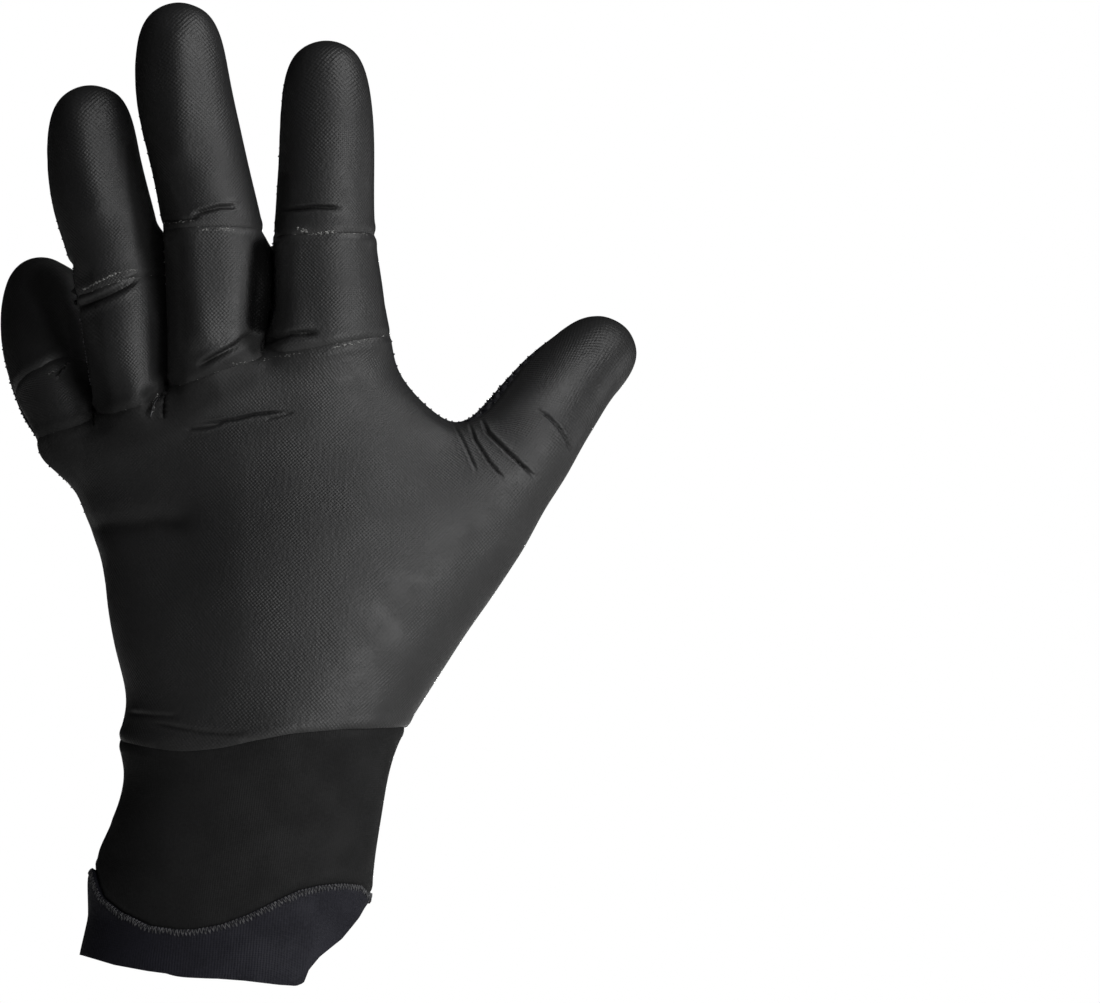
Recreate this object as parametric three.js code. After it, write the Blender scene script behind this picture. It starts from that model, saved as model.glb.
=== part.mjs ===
// A neoprene water-sports glove for the left hand, in the shape it has when it is worn.
//
// The skin is drawn once as a coarse net of four-sided cells: rings of points round the
// cuff and the hand, then eight points round each finger and ten round the thumb. The net
// is rounded by one Catmull-Clark step, cut along the seams into the panels that the glove
// is sewn from, and each panel is thickened inwards into a closed sheet of its own cloth.
//
// Frame, in millimetres: +Z runs up the fingers, +X to the thumb side, and the back of the
// hand faces -Y. The origin is in the middle of the wrist opening, level with its lowest rim.
import * as THREE from "three";

// Cloth thicknesses, and the gap that the glued seams keep between two panels.
const BACK_NEOPRENE = 2.6;
const PALM_NEOPRENE = 2.6;
const CUFF_JERSEY = 2.0;
const HEM_JERSEY = 1.8;
const SEAM_GAP = 0.34;

// Where a seam turns a sharp corner, the panel's edge stands back by no more than the
// width at this cosine of the corner.
const SHARPEST_MITRE = 0.4;

// A section of the hand is an oval of this power: 2 is an ellipse, more is squarer.
const OVAL_POWER = 2.25;

// The columns of a hand ring. Back columns D0 to D12 run from the little-finger side seam
// over the back to the thumb side seam, palm columns P0 to P10 run under them, and both
// seams are columns of their own: U at the little finger, R at the thumb. Column 8 is the
// line where the thumb parts from the palm.
const BACK_COLUMNS = 13;
const PALM_COLUMNS = 11;
const THUMB_COLUMN = 8;

// Where the two side seams lie round the wrist and cuff, in degrees from the little-finger
// edge (0) over the middle of the back (90) to the thumb edge (180).
const WRIST_SEAM_U = -30;
const WRIST_SEAM_R = 218;

// Where the columns lie once the fingers fan out: a share of the way from the little-finger
// edge to the thumb line for columns 0 to 8, and from there to the thumb edge for the rest.
const FAN_TO_THUMB_LINE = [0.04, 0.11, 0.2, 0.3, 0.4, 0.53, 0.66, 0.82, 1];
const FAN_BEYOND = [
  { column: "D9", share: 0.42, side: "back" },
  { column: "D10", share: 0.8, side: "back" },
  { column: "D11", share: 0.995, side: "back" },
  { column: "D12", share: 0.88, side: "palm" },
  { column: "R", share: 0.62, side: "palm" },
  { column: "P10", share: 0.42, side: "palm" },
  { column: "P9", share: 0.21, side: "palm" },
];

// The cuff and the hand up to the thumb's web. Each row is one ring: u is its point on the
// little-finger edge, k on the thumb line, r on the thumb edge. back and palm are its depths
// to each side of its middle line, and fan says how far its columns have moved from the
// wrist's spacing (0) to the fingers' (1). sag lowers the middle of the back and of the
// palm, thenar swells the ball of the thumb, and web keeps that share of the depth at the
// thumb line.
const HAND_ROWS = [
  { name: "cuff_low", u: [-31, 0, 33], k: [22, 0, 33], r: [38.2, 0, 33],
    back: 23.5, palm: 23.5, fan: 0, sag: 0, thenar: 0, web: 1 },
  { name: "cuff_mid", u: [-26, 0, 43.5], k: [24, 0, 43.5], r: [40, 0, 43.5],
    back: 22.5, palm: 22.5, fan: 0, sag: 1, thenar: 0, web: 1 },
  { name: "cuff_high", u: [-23.9, 0, 54], k: [26, 0, 54.5], r: [42, 0, 54.5],
    back: 22.5, palm: 22.5, fan: 0, sag: 3, thenar: 0, web: 1 },
  { name: "wrist_seam", u: [-27, 0, 61.6], k: [28, 0, 63.2], r: [45.2, 0, 63.2],
    back: 23, palm: 23, fan: 0.05, sag: 5, thenar: 0, web: 1 },
  { name: "heel", u: [-23, 1, 70], k: [33, 1, 74], r: [52.8, 3, 74],
    back: 22, palm: 24, fan: 0.2, sag: 4, thenar: 1.5, web: 1 },
  { name: "hand_1", u: [-27.4, 2, 82.5], k: [39, 2, 89], r: [60.6, 5, 86],
    back: 21, palm: 25, fan: 0.45, sag: 1.5, thenar: 3, web: 1 },
  { name: "hand_2", u: [-29.8, 4, 94], k: [44.5, 3, 104], r: [69.2, 7, 97.5],
    back: 20, palm: 25, fan: 0.7, sag: 0.5, thenar: 4, web: 0.97 },
  { name: "hand_3", u: [-30.8, 6, 104.5], k: [49.8, 5, 120.5], r: [75.8, 8, 106.5],
    back: 19, palm: 24.5, fan: 0.9, sag: 0, thenar: 3.5, web: 0.82 },
  { name: "thumb_web", u: [-35.6, 8, 114.5], k: [54.8, 7, 135.8], r: [80.6, 9, 115.8],
    back: 18, palm: 22.5, fan: 1, sag: 0, thenar: 1.5, web: 0.5 },
];

// Where across the glove, as shares of its width, the wrist seam and the rows beside it
// sag and where the ball of the thumb swells, and how widely. The thumb line's own reach.
const SAG = { back: { middle: 0.27, reach: 0.24 }, palm: { middle: 0.4, reach: 0.34 } };
const THENAR = { middle: 0.74, reach: 0.16 };
const WEB_REACH = 0.1;

// The middle of the thumb's web, which lies between the back and the palm at the thumb line.
const THUMB_WEB = [57.6, 7.5, 136.4];

// The palm above the thumb, up to the row where the fingers part. k is its thumb-side edge.
const PALM_ROWS = [
  { name: "palm_1", u: [-37, 10, 122], k: [47.8, 4, 146], back: 17.2, palm: 20 },
  { name: "palm_2", u: [-47.6, 12, 129.4], k: [43.6, 2, 153], back: 16.4, palm: 18 },
];
const PALM_ROW_SHARES = [0.03, 0.11, 0.2, 0.3, 0.4, 0.53, 0.66, 0.82, 0.95];

// The row where the fingers part, from the little-finger edge to the index edge. It is the
// knuckle seam too. back and palm are the Y of the two skins there, and rise is how far a
// web between two fingers stands above the row in its middle.
const KNUCKLE_ROW = [
  { place: "little_edge", x: -44.6, z: 133.2, back: 5.5, palm: 21 },
  { place: "little_knuckle", x: -37.6, z: 134.6, back: -0.5, palm: 24.5 },
  { place: "web_little_ring", x: -30.2, z: 137.6, back: 2, palm: 18.5, rise: 0.8 },
  { place: "ring_knuckle", x: -22.6, z: 139.8, back: -10.5, palm: 17 },
  { place: "web_ring_middle", x: -14, z: 143.6, back: -6.5, palm: 11, rise: 2.8 },
  { place: "middle_knuckle", x: -2.6, z: 149.6, back: -15, palm: 13.5 },
  { place: "web_middle_index", x: 10.6, z: 154, back: -7.5, palm: 8.5, rise: 3.6 },
  { place: "index_knuckle", x: 25, z: 156, back: -14, palm: 13.5 },
  { place: "index_edge", x: 39.6, z: 159, back: -7.5, palm: 9 },
];
const LITTLE_EDGE = [-46, 13.5, 134];
const INDEX_EDGE = [42.7, 1, 159.6];

// Fingers and thumb: each row is a section square to the finger, at its middle point.
// half is half its width, deep half its depth from nail to pulp. The section named seam is
// a seam across the back of the finger, and tilt lifts its thumb-side end by that much
// above a square cut. The last section carries a dome that reaches the tip.
const FINGERS = {
  little: [
    { name: "root", x: -41.6, y: 17, z: 144, half: 9.6, deep: 10.4, tilt: 2 },
    { name: "seam", x: -44.4, y: 21.8, z: 150.2, half: 9.6, deep: 10, tilt: 2.6 },
    { name: "joint", x: -46.2, y: 27.5, z: 157.2, half: 9.9, deep: 9.9, tilt: 1 },
    { name: "mid", x: -46.8, y: 33.5, z: 163.8, half: 10.5, deep: 9.6, tilt: 0 },
  ],
  ring: [
    { name: "root", x: -23.6, y: 4.4, z: 152, half: 9.6, deep: 11.4, tilt: 0 },
    { name: "base", x: -24, y: 4.8, z: 161.2, half: 10.6, deep: 11.2, tilt: 1 },
    { name: "seam", x: -24.9, y: 6, z: 171.3, half: 11.6, deep: 10.8, tilt: 2 },
    { name: "joint", x: -26.8, y: 8, z: 182, half: 12.1, deep: 10.9, tilt: 1 },
    { name: "mid", x: -30.2, y: 10.2, z: 193, half: 12.6, deep: 10.8, tilt: 0 },
    { name: "upper", x: -32.4, y: 13.2, z: 203.5, half: 12.1, deep: 10.4, tilt: 0 },
  ],
  middle: [
    { name: "root", x: -1, y: -1, z: 161.5, half: 12.3, deep: 12.4, tilt: 0 },
    { name: "base", x: -0.4, y: -0.8, z: 173.5, half: 13.1, deep: 12.1, tilt: -1 },
    { name: "seam", x: -1.7, y: 0.2, z: 185, half: 12.6, deep: 11.6, tilt: -2.4 },
    { name: "joint", x: -4.5, y: 1.8, z: 197, half: 12.2, deep: 11.6, tilt: -1 },
    { name: "mid", x: -7.3, y: 3.8, z: 209, half: 12.5, deep: 11.4, tilt: 0 },
    { name: "upper", x: -9.9, y: 6.6, z: 221, half: 12.5, deep: 11, tilt: 0 },
  ],
  index: [
    { name: "root", x: 26.5, y: 1.4, z: 167, half: 14.2, deep: 12.2, tilt: 0 },
    { name: "base", x: 25.7, y: 2.2, z: 175.4, half: 13.6, deep: 12, tilt: 0 },
    { name: "seam", x: 25.3, y: 2.4, z: 184, half: 13, deep: 11.4, tilt: 0 },
    { name: "joint", x: 25.4, y: 2.6, z: 194, half: 12.4, deep: 11.2, tilt: 0 },
    { name: "mid", x: 25.7, y: 3, z: 203.5, half: 12.3, deep: 10.9, tilt: 0 },
    { name: "upper", x: 25.8, y: 4.8, z: 213, half: 12.1, deep: 10.5, tilt: 0 },
  ],
  thumb: [
    { name: "root", x: 73.8, y: 12, z: 132.8, half: 14, deep: 13, tilt: 0 },
    { name: "joint", x: 79, y: 16.5, z: 140.6, half: 12.9, deep: 12, tilt: 0 },
    { name: "mid", x: 84, y: 22, z: 147.2, half: 12.1, deep: 11.2, tilt: 0 },
    { name: "upper", x: 88.8, y: 27, z: 152.4, half: 11, deep: 10.2, tilt: 0 },
  ],
};

// The outermost point of each finger, and the steps of its dome: how far each ring stands
// towards the tip, as a share. The dome is a little blunter than half an ellipse.
const FINGERTIPS = {
  little: [-47.2, 43.5, 180.4],
  ring: [-33.8, 19.2, 223],
  middle: [-12, 12.6, 243.4],
  index: [25.2, 9.4, 233.8],
  thumb: [98.6, 37, 161.6],
};
const DOME_STEPS = [0.5, 0.84];
const DOME_CAP = 1.03;
const DOME_POWER = 2.4;

// Where each finger's two side seams lie round its section, in degrees: 0 is its thumb
// side, 90 its back, 180 its little-finger side. The thumb-side seam runs from nearRoot to
// nearTip, the other at far. The back and the palm side are cut into this many cells.
const SIDE_SEAMS = {
  little: { nearRoot: -30, nearTip: -30, far: 190, backCells: 4, palmCells: 4 },
  ring: { nearRoot: -30, nearTip: -30, far: 190, backCells: 4, palmCells: 4 },
  middle: { nearRoot: -32, nearTip: -32, far: 190, backCells: 4, palmCells: 4 },
  index: { nearRoot: -32, nearTip: -32, far: 188, backCells: 4, palmCells: 4 },
  thumb: { nearRoot: -94, nearTip: -50, far: 162, backCells: 6, palmCells: 4 },
};

// The folds that the neoprene keeps where the hand bends: grooves in the back of the glove,
// each along a line from one X and Z to another, with its depth and half its width.
const FOLDS = [
  { name: "over_the_knuckles", from: [-8, 137.5], to: [18, 141], deep: 0.9, reach: 3 },
  { name: "little_finger_edge", from: [-30, 113], to: [-10, 114.5], deep: 1.3, reach: 3.2 },
  { name: "index_joint", from: [16, 190.4], to: [28, 190.6], deep: 0.8, reach: 3 },
  { name: "middle_joint", from: [-7, 190], to: [4, 191.6], deep: 0.8, reach: 3 },
  { name: "ring_joint", from: [-35, 166.8], to: [-20, 173.4], deep: 0.8, reach: 3 },
  { name: "thumb_outer", from: [77.4, 141.4], to: [85, 133.6], deep: 0.7, reach: 2.4 },
  { name: "thumb_inner", from: [64, 138], to: [76.4, 125.6], deep: 0.9, reach: 2.8 },
  { name: "wrist", from: [-20, 65.4], to: [6, 62], deep: 1, reach: 2.8 },
];

// The hem band at the bottom of the cuff: heights of the seam above it and of its rim.
const HEM = [
  { at: 0, seam: 26, rim: 9 },
  { at: 25, seam: 20.5, rim: 6.8 },
  { at: 50, seam: 15, rim: 4.4 },
  { at: 75, seam: 13.2, rim: 2.4 },
  { at: 95, seam: 16.6, rim: 1 },
  { at: 114, seam: 23, rim: -1.4 },
  { at: 131, seam: 25.8, rim: 5 },
  { at: 150, seam: 26, rim: 13 },
  { at: 170, seam: 25, rim: 19 },
  { at: 190, seam: 23, rim: 17.5 },
  { at: 210, seam: 17.5, rim: 10.5 },
  { at: 230, seam: 14, rim: 4.5 },
  { at: 250, seam: 12, rim: 1.5 },
  { at: 270, seam: 7.5, rim: 0 },
  { at: 290, seam: 7, rim: 0.6 },
  { at: 310, seam: 12, rim: 4.4 },
  { at: 335, seam: 21.5, rim: 8.5 },
];
const HEM_SEAM_OVAL = { left: -33.4, right: 37.4, deep: 24 };
const RIM_OVAL = { left: -35.6, right: 36.6, deep: 24.5 };

// The net: its points, and its cells with the panel that each belongs to.
const points = [];
const cells = [];

function addPoint(x, y, z) {
  return points.push(new THREE.Vector3(x, y, z)) - 1;
}

function addCell(panel, a, b, c, d) {
  cells.push({ panel, corners: [a, b, c, d] });
}

const radians = THREE.MathUtils.degToRad;
const mix = THREE.MathUtils.lerp;

// The angle round a section that stands at this share of the way across it.
function angleAtShare(share, side) {
  const angle = THREE.MathUtils.radToDeg(Math.acos(1 - 2 * share));
  return side === "back" ? angle : 360 - angle;
}

// The angles of all ring columns at the wrist, keyed by column name.
function wristAngles() {
  const angles = { U: WRIST_SEAM_U, R: WRIST_SEAM_R };
  const overBack = WRIST_SEAM_R - WRIST_SEAM_U;
  for (let i = 0; i < BACK_COLUMNS; i += 1) {
    angles[`D${i}`] = WRIST_SEAM_U + (overBack * (i + 1)) / (BACK_COLUMNS + 1);
  }
  for (let i = 0; i < PALM_COLUMNS; i += 1) {
    angles[`P${i}`] = 360 + WRIST_SEAM_U - ((360 - overBack) * (i + 1)) / (PALM_COLUMNS + 1);
  }
  return angles;
}

// The angles of all ring columns where the fingers fan out, for a thumb line that stands
// at this share of the ring's width.
function fanAngles(thumbLine) {
  const angles = { U: -6 };
  FAN_TO_THUMB_LINE.forEach((share, i) => {
    angles[`D${i}`] = angleAtShare(share * thumbLine, "back");
    angles[`P${i}`] = angleAtShare(share * thumbLine, "palm");
  });
  for (const { column, share, side } of FAN_BEYOND) {
    angles[column] = angleAtShare(mix(thumbLine, 1, share), side);
  }
  return angles;
}

const RING_ORDER = [
  "U",
  ...Array.from({ length: BACK_COLUMNS }, (_, i) => `D${i}`),
  "R",
  ...Array.from({ length: PALM_COLUMNS }, (_, i) => `P${PALM_COLUMNS - 1 - i}`),
];

function depthShare(share) {
  const offMiddle = Math.min(Math.abs(2 * share - 1), 1);
  return (1 - offMiddle ** OVAL_POWER) ** (1 / OVAL_POWER);
}

// A soft swelling of height 1 in its middle that dies away over its reach.
function swell(place, { middle, reach }) {
  return Math.exp(-(((place - middle) / reach) ** 2));
}

// One ring of the hand, as an object from column name to point number.
function handRing(row) {
  const [u, k, r] = [row.u, row.k, row.r].map((p) => new THREE.Vector3(...p));
  const toLine = u.distanceTo(k);
  const thumbLine = toLine / (toLine + k.distanceTo(r));
  const atWrist = wristAngles();
  const atFan = fanAngles(thumbLine);
  const ring = {};
  for (const column of RING_ORDER) {
    const angle = radians(mix(atWrist[column], atFan[column], row.fan));
    const share = (1 - Math.cos(angle)) / 2;
    const side = Math.sin(angle) > 0 ? -1 : 1;
    const middle = share < thumbLine
      ? u.clone().lerp(k, share / thumbLine)
      : k.clone().lerp(r, (share - thumbLine) / (1 - thumbLine));
    const nearLine = swell(share, { middle: thumbLine, reach: WEB_REACH });
    const thenar = side > 0 ? row.thenar * swell(share, THENAR) : 0;
    const full = depthShare(share) * (side > 0 ? row.palm : row.back) + thenar;
    const depth = full * mix(1, row.web, nearLine);
    const height = middle.z - row.sag * swell(share, side > 0 ? SAG.palm : SAG.back);
    ring[column] = addPoint(middle.x, middle.y + side * depth, height);
  }
  return ring;
}

// A ring of the palm above the thumb: columns 0 to 8 on both sides, with U and W8 between.
function palmRing(row) {
  const u = new THREE.Vector3(...row.u);
  const k = new THREE.Vector3(...row.k);
  const ring = { U: addPoint(u.x, u.y, u.z), W8: addPoint(k.x, k.y, k.z) };
  PALM_ROW_SHARES.forEach((share, i) => {
    const middle = u.clone().lerp(k, share);
    ring[`D${i}`] = addPoint(middle.x, middle.y - row.back * depthShare(share), middle.z);
    ring[`P${i}`] = addPoint(middle.x, middle.y + row.palm * depthShare(share), middle.z);
  });
  return ring;
}

function knuckleRing() {
  const ring = { U: addPoint(...LITTLE_EDGE), W8: addPoint(...INDEX_EDGE) };
  KNUCKLE_ROW.forEach(({ x, z, back, palm, rise }, i) => {
    ring[`D${i}`] = addPoint(x, back, z);
    ring[`P${i}`] = addPoint(x, palm, z);
    if (rise) ring[`W${i}`] = addPoint(x, (back + palm) / 2, z + rise);
  });
  return ring;
}

// Joins two closed rings of the same columns by a band of cells. panelOf names the panel
// of the cell that starts at a column.
function addBand(below, above, order, panelOf) {
  order.forEach((column, i) => {
    const next = order[(i + 1) % order.length];
    addCell(panelOf(column, i), below[column], below[next], above[next], above[column]);
  });
}

// The hem's height at an angle, read from its table with eased steps between rows.
function hemHeight(key, degrees) {
  const angle = THREE.MathUtils.euclideanModulo(degrees, 360);
  const next = HEM.findIndex((row) => row.at > angle);
  const after = next < 0 ? HEM[0] : HEM[next];
  const before = next < 0 ? HEM.at(-1) : HEM[next - 1];
  const span = THREE.MathUtils.euclideanModulo(after.at - before.at, 360);
  const eased = THREE.MathUtils.smoothstep((angle - before.at) / span, 0, 1);
  return mix(before[key], after[key], eased);
}

function hemRing(oval, key) {
  const ring = {};
  const angles = wristAngles();
  const middle = (oval.left + oval.right) / 2;
  for (const column of RING_ORDER) {
    const angle = radians(angles[column]);
    const x = middle - ((oval.right - oval.left) / 2) * Math.cos(angle);
    const y = -oval.deep * Math.sin(angle);
    ring[column] = addPoint(x, y, hemHeight(key, angles[column]));
  }
  return ring;
}

// A finger's sections with the two that its dome needs, as rows of the same columns.
function sectionsWithDome(name) {
  const sections = FINGERS[name];
  const last = sections.at(-1);
  const from = new THREE.Vector3(last.x, last.y, last.z);
  const tip = new THREE.Vector3(...FINGERTIPS[name]);
  const dome = DOME_STEPS.map((step) => {
    const { x, y, z } = from.clone().lerp(tip, step);
    const width = (1 - step ** DOME_POWER) ** (1 / DOME_POWER);
    return { name: "dome", x, y, z, half: last.half * width, deep: last.deep * width, tilt: 0 };
  });
  return { sections: [...sections, ...dome], cap: from.lerp(tip, DOME_CAP) };
}

// The points of a finger's sections, in the order: thumb-side seam, back columns, little-
// finger-side seam, palm columns. A ring shrinks when it is rounded, by more where its
// points stand further apart, so each point of the net is drawn out by that share.
function fingerRings(sections, seams) {
  const centres = sections.map(({ x, y, z }) => new THREE.Vector3(x, y, z));
  const { nearRoot, nearTip, far, backCells, palmCells } = seams;
  const count = backCells + palmCells;
  return sections.map((section, row) => {
    const near = mix(nearRoot, nearTip, Math.min((2 * row) / sections.length, 1));
    const degrees = Array.from({ length: count }, (_, i) => (i <= backCells
      ? mix(near, far, i / backCells)
      : mix(far, near + 360, (i - backCells) / palmCells)));
    const before = centres[Math.max(row - 1, 0)];
    const after = centres[Math.min(row + 1, centres.length - 1)];
    const along = after.clone().sub(before).normalize();
    const across = new THREE.Vector3(1, 0, 0).addScaledVector(along, -along.x).normalize();
    const up = along.clone().cross(across).negate();
    return degrees.map((angle, i) => {
      const toNext = radians(degrees[(i + 1) % count] - angle);
      const toLast = radians(angle - degrees[(i + count - 1) % count]);
      const rounding = (6 + Math.cos(toNext) + Math.cos(toLast)) / 8;
      const sideways = Math.cos(radians(angle));
      const point = centres[row].clone()
        .addScaledVector(across, (section.half / rounding) * sideways)
        .addScaledVector(up, (section.deep / rounding) * Math.sin(radians(angle)))
        .addScaledVector(along, section.tilt * sideways);
      return addPoint(point.x, point.y, point.z);
    });
  });
}

// Builds one finger on its base ring, which lists point numbers in a section's order.
function addFinger(name, base) {
  const seams = SIDE_SEAMS[name];
  const { sections, cap } = sectionsWithDome(name);
  const seamRow = sections.findIndex((section) => section.name === "seam");
  const rings = [base, ...fingerRings(sections, seams)];
  const backPanel = (row) => {
    if (seamRow < 0) return "back_panel";
    return row <= seamRow ? `${name}_lower_panel` : `${name}_tip_panel`;
  };
  const count = base.length;
  for (let row = 0; row + 1 < rings.length; row += 1) {
    for (let i = 0; i < count; i += 1) {
      const next = (i + 1) % count;
      const panel = i < seams.backCells ? backPanel(row) : "palm_panel";
      addCell(panel, rings[row][next], rings[row][i], rings[row + 1][i], rings[row + 1][next]);
    }
  }
  // The tip is closed by cells that meet in one point, each taking two steps of the ring.
  const last = rings.at(-1);
  const top = addPoint(cap.x, cap.y, cap.z);
  for (let i = 0; i < count; i += 2) {
    const panel = i < seams.backCells ? backPanel(rings.length) : "palm_panel";
    addCell(panel, top, last[(i + 2) % count], last[i + 1], last[i]);
  }
}

function drawNet() {
  const rim = hemRing(RIM_OVAL, "rim");
  const hemSeam = hemRing(HEM_SEAM_OVAL, "seam");
  const rings = HAND_ROWS.map(handRing);
  addBand(rim, hemSeam, RING_ORDER, () => "hem_band");
  const wrist = HAND_ROWS.findIndex((row) => row.name === "wrist_seam");
  [hemSeam, ...rings].slice(0, wrist + 1).forEach((ring, i) => {
    addBand(ring, rings[i], RING_ORDER, () => "cuff");
  });
  const overBack = (column, i) => (i <= BACK_COLUMNS ? "back_panel" : "palm_panel");
  for (let i = wrist; i + 1 < rings.length; i += 1) {
    addBand(rings[i], rings[i + 1], RING_ORDER, overBack);
  }

  const split = rings.at(-1);
  split.W8 = addPoint(...THUMB_WEB);
  const backEight = Array.from({ length: THUMB_COLUMN + 1 }, (_, i) => `D${i}`);
  const palmEight = Array.from({ length: THUMB_COLUMN + 1 }, (_, i) => `P${THUMB_COLUMN - i}`);
  const palmOrder = ["U", ...backEight, "W8", ...palmEight];
  const overPalmBack = (column, i) => (i <= THUMB_COLUMN + 1 ? "back_panel" : "palm_panel");
  const knuckles = knuckleRing();
  const palmRings = [split, ...PALM_ROWS.map(palmRing), knuckles];
  for (let i = 0; i + 1 < palmRings.length; i += 1) {
    addBand(palmRings[i], palmRings[i + 1], palmOrder, overPalmBack);
  }

  const thumbBack = ["D12", "D11", "D10", "D9", "D8"];
  const thumbPalm = ["P8", "P9", "P10"];
  addFinger("thumb", ["R", ...thumbBack, "W8", ...thumbPalm].map((c) => split[c]));
  ["little", "ring", "middle", "index"].forEach((name, f) => {
    const [low, high] = [2 * f, 2 * f + 2];
    const far = f === 0 ? "U" : `W${low}`;
    const overBackOfIt = [`D${high}`, `D${low + 1}`, `D${low}`];
    const underIt = [`P${low}`, `P${low + 1}`, `P${high}`];
    addFinger(name, [`W${high}`, ...overBackOfIt, far, ...underIt].map((c) => knuckles[c]));
  });
}

// One Catmull-Clark step over the whole net. Open edges keep to their own line.
function roundNet() {
  const edges = new Map();
  const touching = points.map(() => ({ cells: [], edges: [] }));
  cells.forEach((cell, f) => {
    cell.middle = new THREE.Vector3();
    cell.corners.forEach((p, i) => {
      cell.middle.addScaledVector(points[p], 1 / cell.corners.length);
      touching[p].cells.push(f);
      const q = cell.corners[(i + 1) % cell.corners.length];
      const key = p < q ? `${p} ${q}` : `${q} ${p}`;
      if (!edges.has(key)) edges.set(key, { ends: [p, q], cells: [] });
      edges.get(key).cells.push(f);
    });
  });
  for (const edge of edges.values()) {
    const middle = points[edge.ends[0]].clone().add(points[edge.ends[1]]).multiplyScalar(0.5);
    edge.middle = middle.clone();
    edge.open = edge.cells.length === 1;
    if (!edge.open) {
      const between = cells[edge.cells[0]].middle.clone().add(cells[edge.cells[1]].middle);
      middle.multiplyScalar(0.5).addScaledVector(between, 0.25);
    }
    edge.point = middle;
    edge.ends.forEach((p) => touching[p].edges.push(edge));
  }
  const moved = points.map((point, p) => {
    const { cells: around, edges: spokes } = touching[p];
    const open = spokes.filter((edge) => edge.open);
    if (open.length > 0) {
      return point.clone().multiplyScalar(0.5)
        .addScaledVector(open[0].middle, 0.25)
        .addScaledVector(open[1].middle, 0.25);
    }
    const n = spokes.length;
    const result = point.clone().multiplyScalar((n - 3) / n);
    around.forEach((f) => result.addScaledVector(cells[f].middle, 1 / (n * n)));
    spokes.forEach((edge) => result.addScaledVector(edge.middle, 2 / (n * n)));
    return result;
  });
  const fine = { points: moved, cells: [] };
  cells.forEach((cell) => { cell.centre = fine.points.push(cell.middle) - 1; });
  for (const edge of edges.values()) edge.number = fine.points.push(edge.point) - 1;
  const numberOf = (p, q) => edges.get(p < q ? `${p} ${q}` : `${q} ${p}`).number;
  for (const { panel, corners, centre } of cells) {
    corners.forEach((p, i) => {
      const next = corners[(i + 1) % corners.length];
      const last = corners[(i + corners.length - 1) % corners.length];
      fine.cells.push({ panel, corners: [p, numberOf(p, next), centre, numberOf(last, p)] });
    });
  }
  return fine;
}

function cellNormal(net, corners) {
  const [a, b, c, d] = corners.map((p) => net.points[p]);
  return c.clone().sub(a).cross(d.clone().sub(b));
}

// Thickens one panel: its outer skin, an inner skin one thickness below it, and a wall
// along its edges, which stand back from the seam line by half a seam gap.
function panelGeometry(net, panel, thickness) {
  const mine = net.cells.filter((cell) => cell.panel === panel);
  const used = new Map();
  const borders = new Map();
  for (const { corners } of mine) {
    corners.forEach((p, i) => {
      if (!used.has(p)) used.set(p, used.size);
      const q = corners[(i + 1) % corners.length];
      if (!borders.delete(`${q} ${p}`)) borders.set(`${p} ${q}`, { from: p, to: q, corners });
    });
  }
  const pullIn = new Map();
  for (const { from, to, corners } of borders.values()) {
    const along = net.points[to].clone().sub(net.points[from]);
    const inward = cellNormal(net, corners).cross(along).normalize();
    for (const p of [from, to]) {
      if (!pullIn.has(p)) pullIn.set(p, []);
      pullIn.get(p).push(inward);
    }
  }
  const outer = [];
  const inner = [];
  for (const [p, number] of used) {
    const place = net.points[p].clone();
    const sides = pullIn.get(p);
    if (sides) {
      const sum = sides[0].clone().add(sides[1]);
      const mitre = Math.max(1 + sides[0].dot(sides[1]), SHARPEST_MITRE);
      place.addScaledVector(sum, SEAM_GAP / 2 / mitre);
    }
    outer[number] = place;
    inner[number] = place.clone().addScaledVector(net.normals[p], -thickness);
  }
  const count = used.size;
  const triangles = [];
  for (const { corners } of mine) {
    const [a, b, c, d] = corners.map((p) => used.get(p));
    triangles.push(a, b, c, a, c, d);
    triangles.push(a + count, c + count, b + count, a + count, d + count, c + count);
  }
  // Two panels that meet split their walls along the same diagonal, so that the walls
  // stay parallel where the seam twists.
  for (const { from, to } of borders.values()) {
    const [a, b] = [used.get(from), used.get(to)];
    if (from < to) triangles.push(b, a, b + count, a, a + count, b + count);
    else triangles.push(b, a, a + count, b, a + count, b + count);
  }
  const geometry = new THREE.BufferGeometry();
  geometry.setFromPoints([...outer, ...inner]);
  geometry.setIndex(triangles);
  geometry.computeVertexNormals();
  return geometry;
}

// Presses the folds into the back of the rounded net. A fold fades where the skin turns
// away from the back of the hand.
function pressFolds(net) {
  net.points.forEach((point, p) => {
    const facing = Math.max(-net.normals[p].y, 0);
    for (const { from, to, deep, reach } of FOLDS) {
      const line = new THREE.Line3(
        new THREE.Vector3(from[0], 0, from[1]),
        new THREE.Vector3(to[0], 0, to[1]),
      );
      const flat = new THREE.Vector3(point.x, 0, point.z);
      const off = line.closestPointToPoint(flat, true, new THREE.Vector3()).distanceTo(flat);
      point.addScaledVector(net.normals[p], -deep * facing * swell(off, { middle: 0, reach }));
    }
  });
}

const SMOOTH_BLACK = { color: 0x2c2c2e, roughness: 0.55, metalness: 0 };
const GRIP_BLACK = { color: 0x1b1b20, roughness: 0.8, metalness: 0 };
const CUFF_BLACK = { color: 0x18181a, roughness: 0.95, metalness: 0 };
const HEM_NAVY = { color: 0x1c1c28, roughness: 0.9, metalness: 0 };

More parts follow.
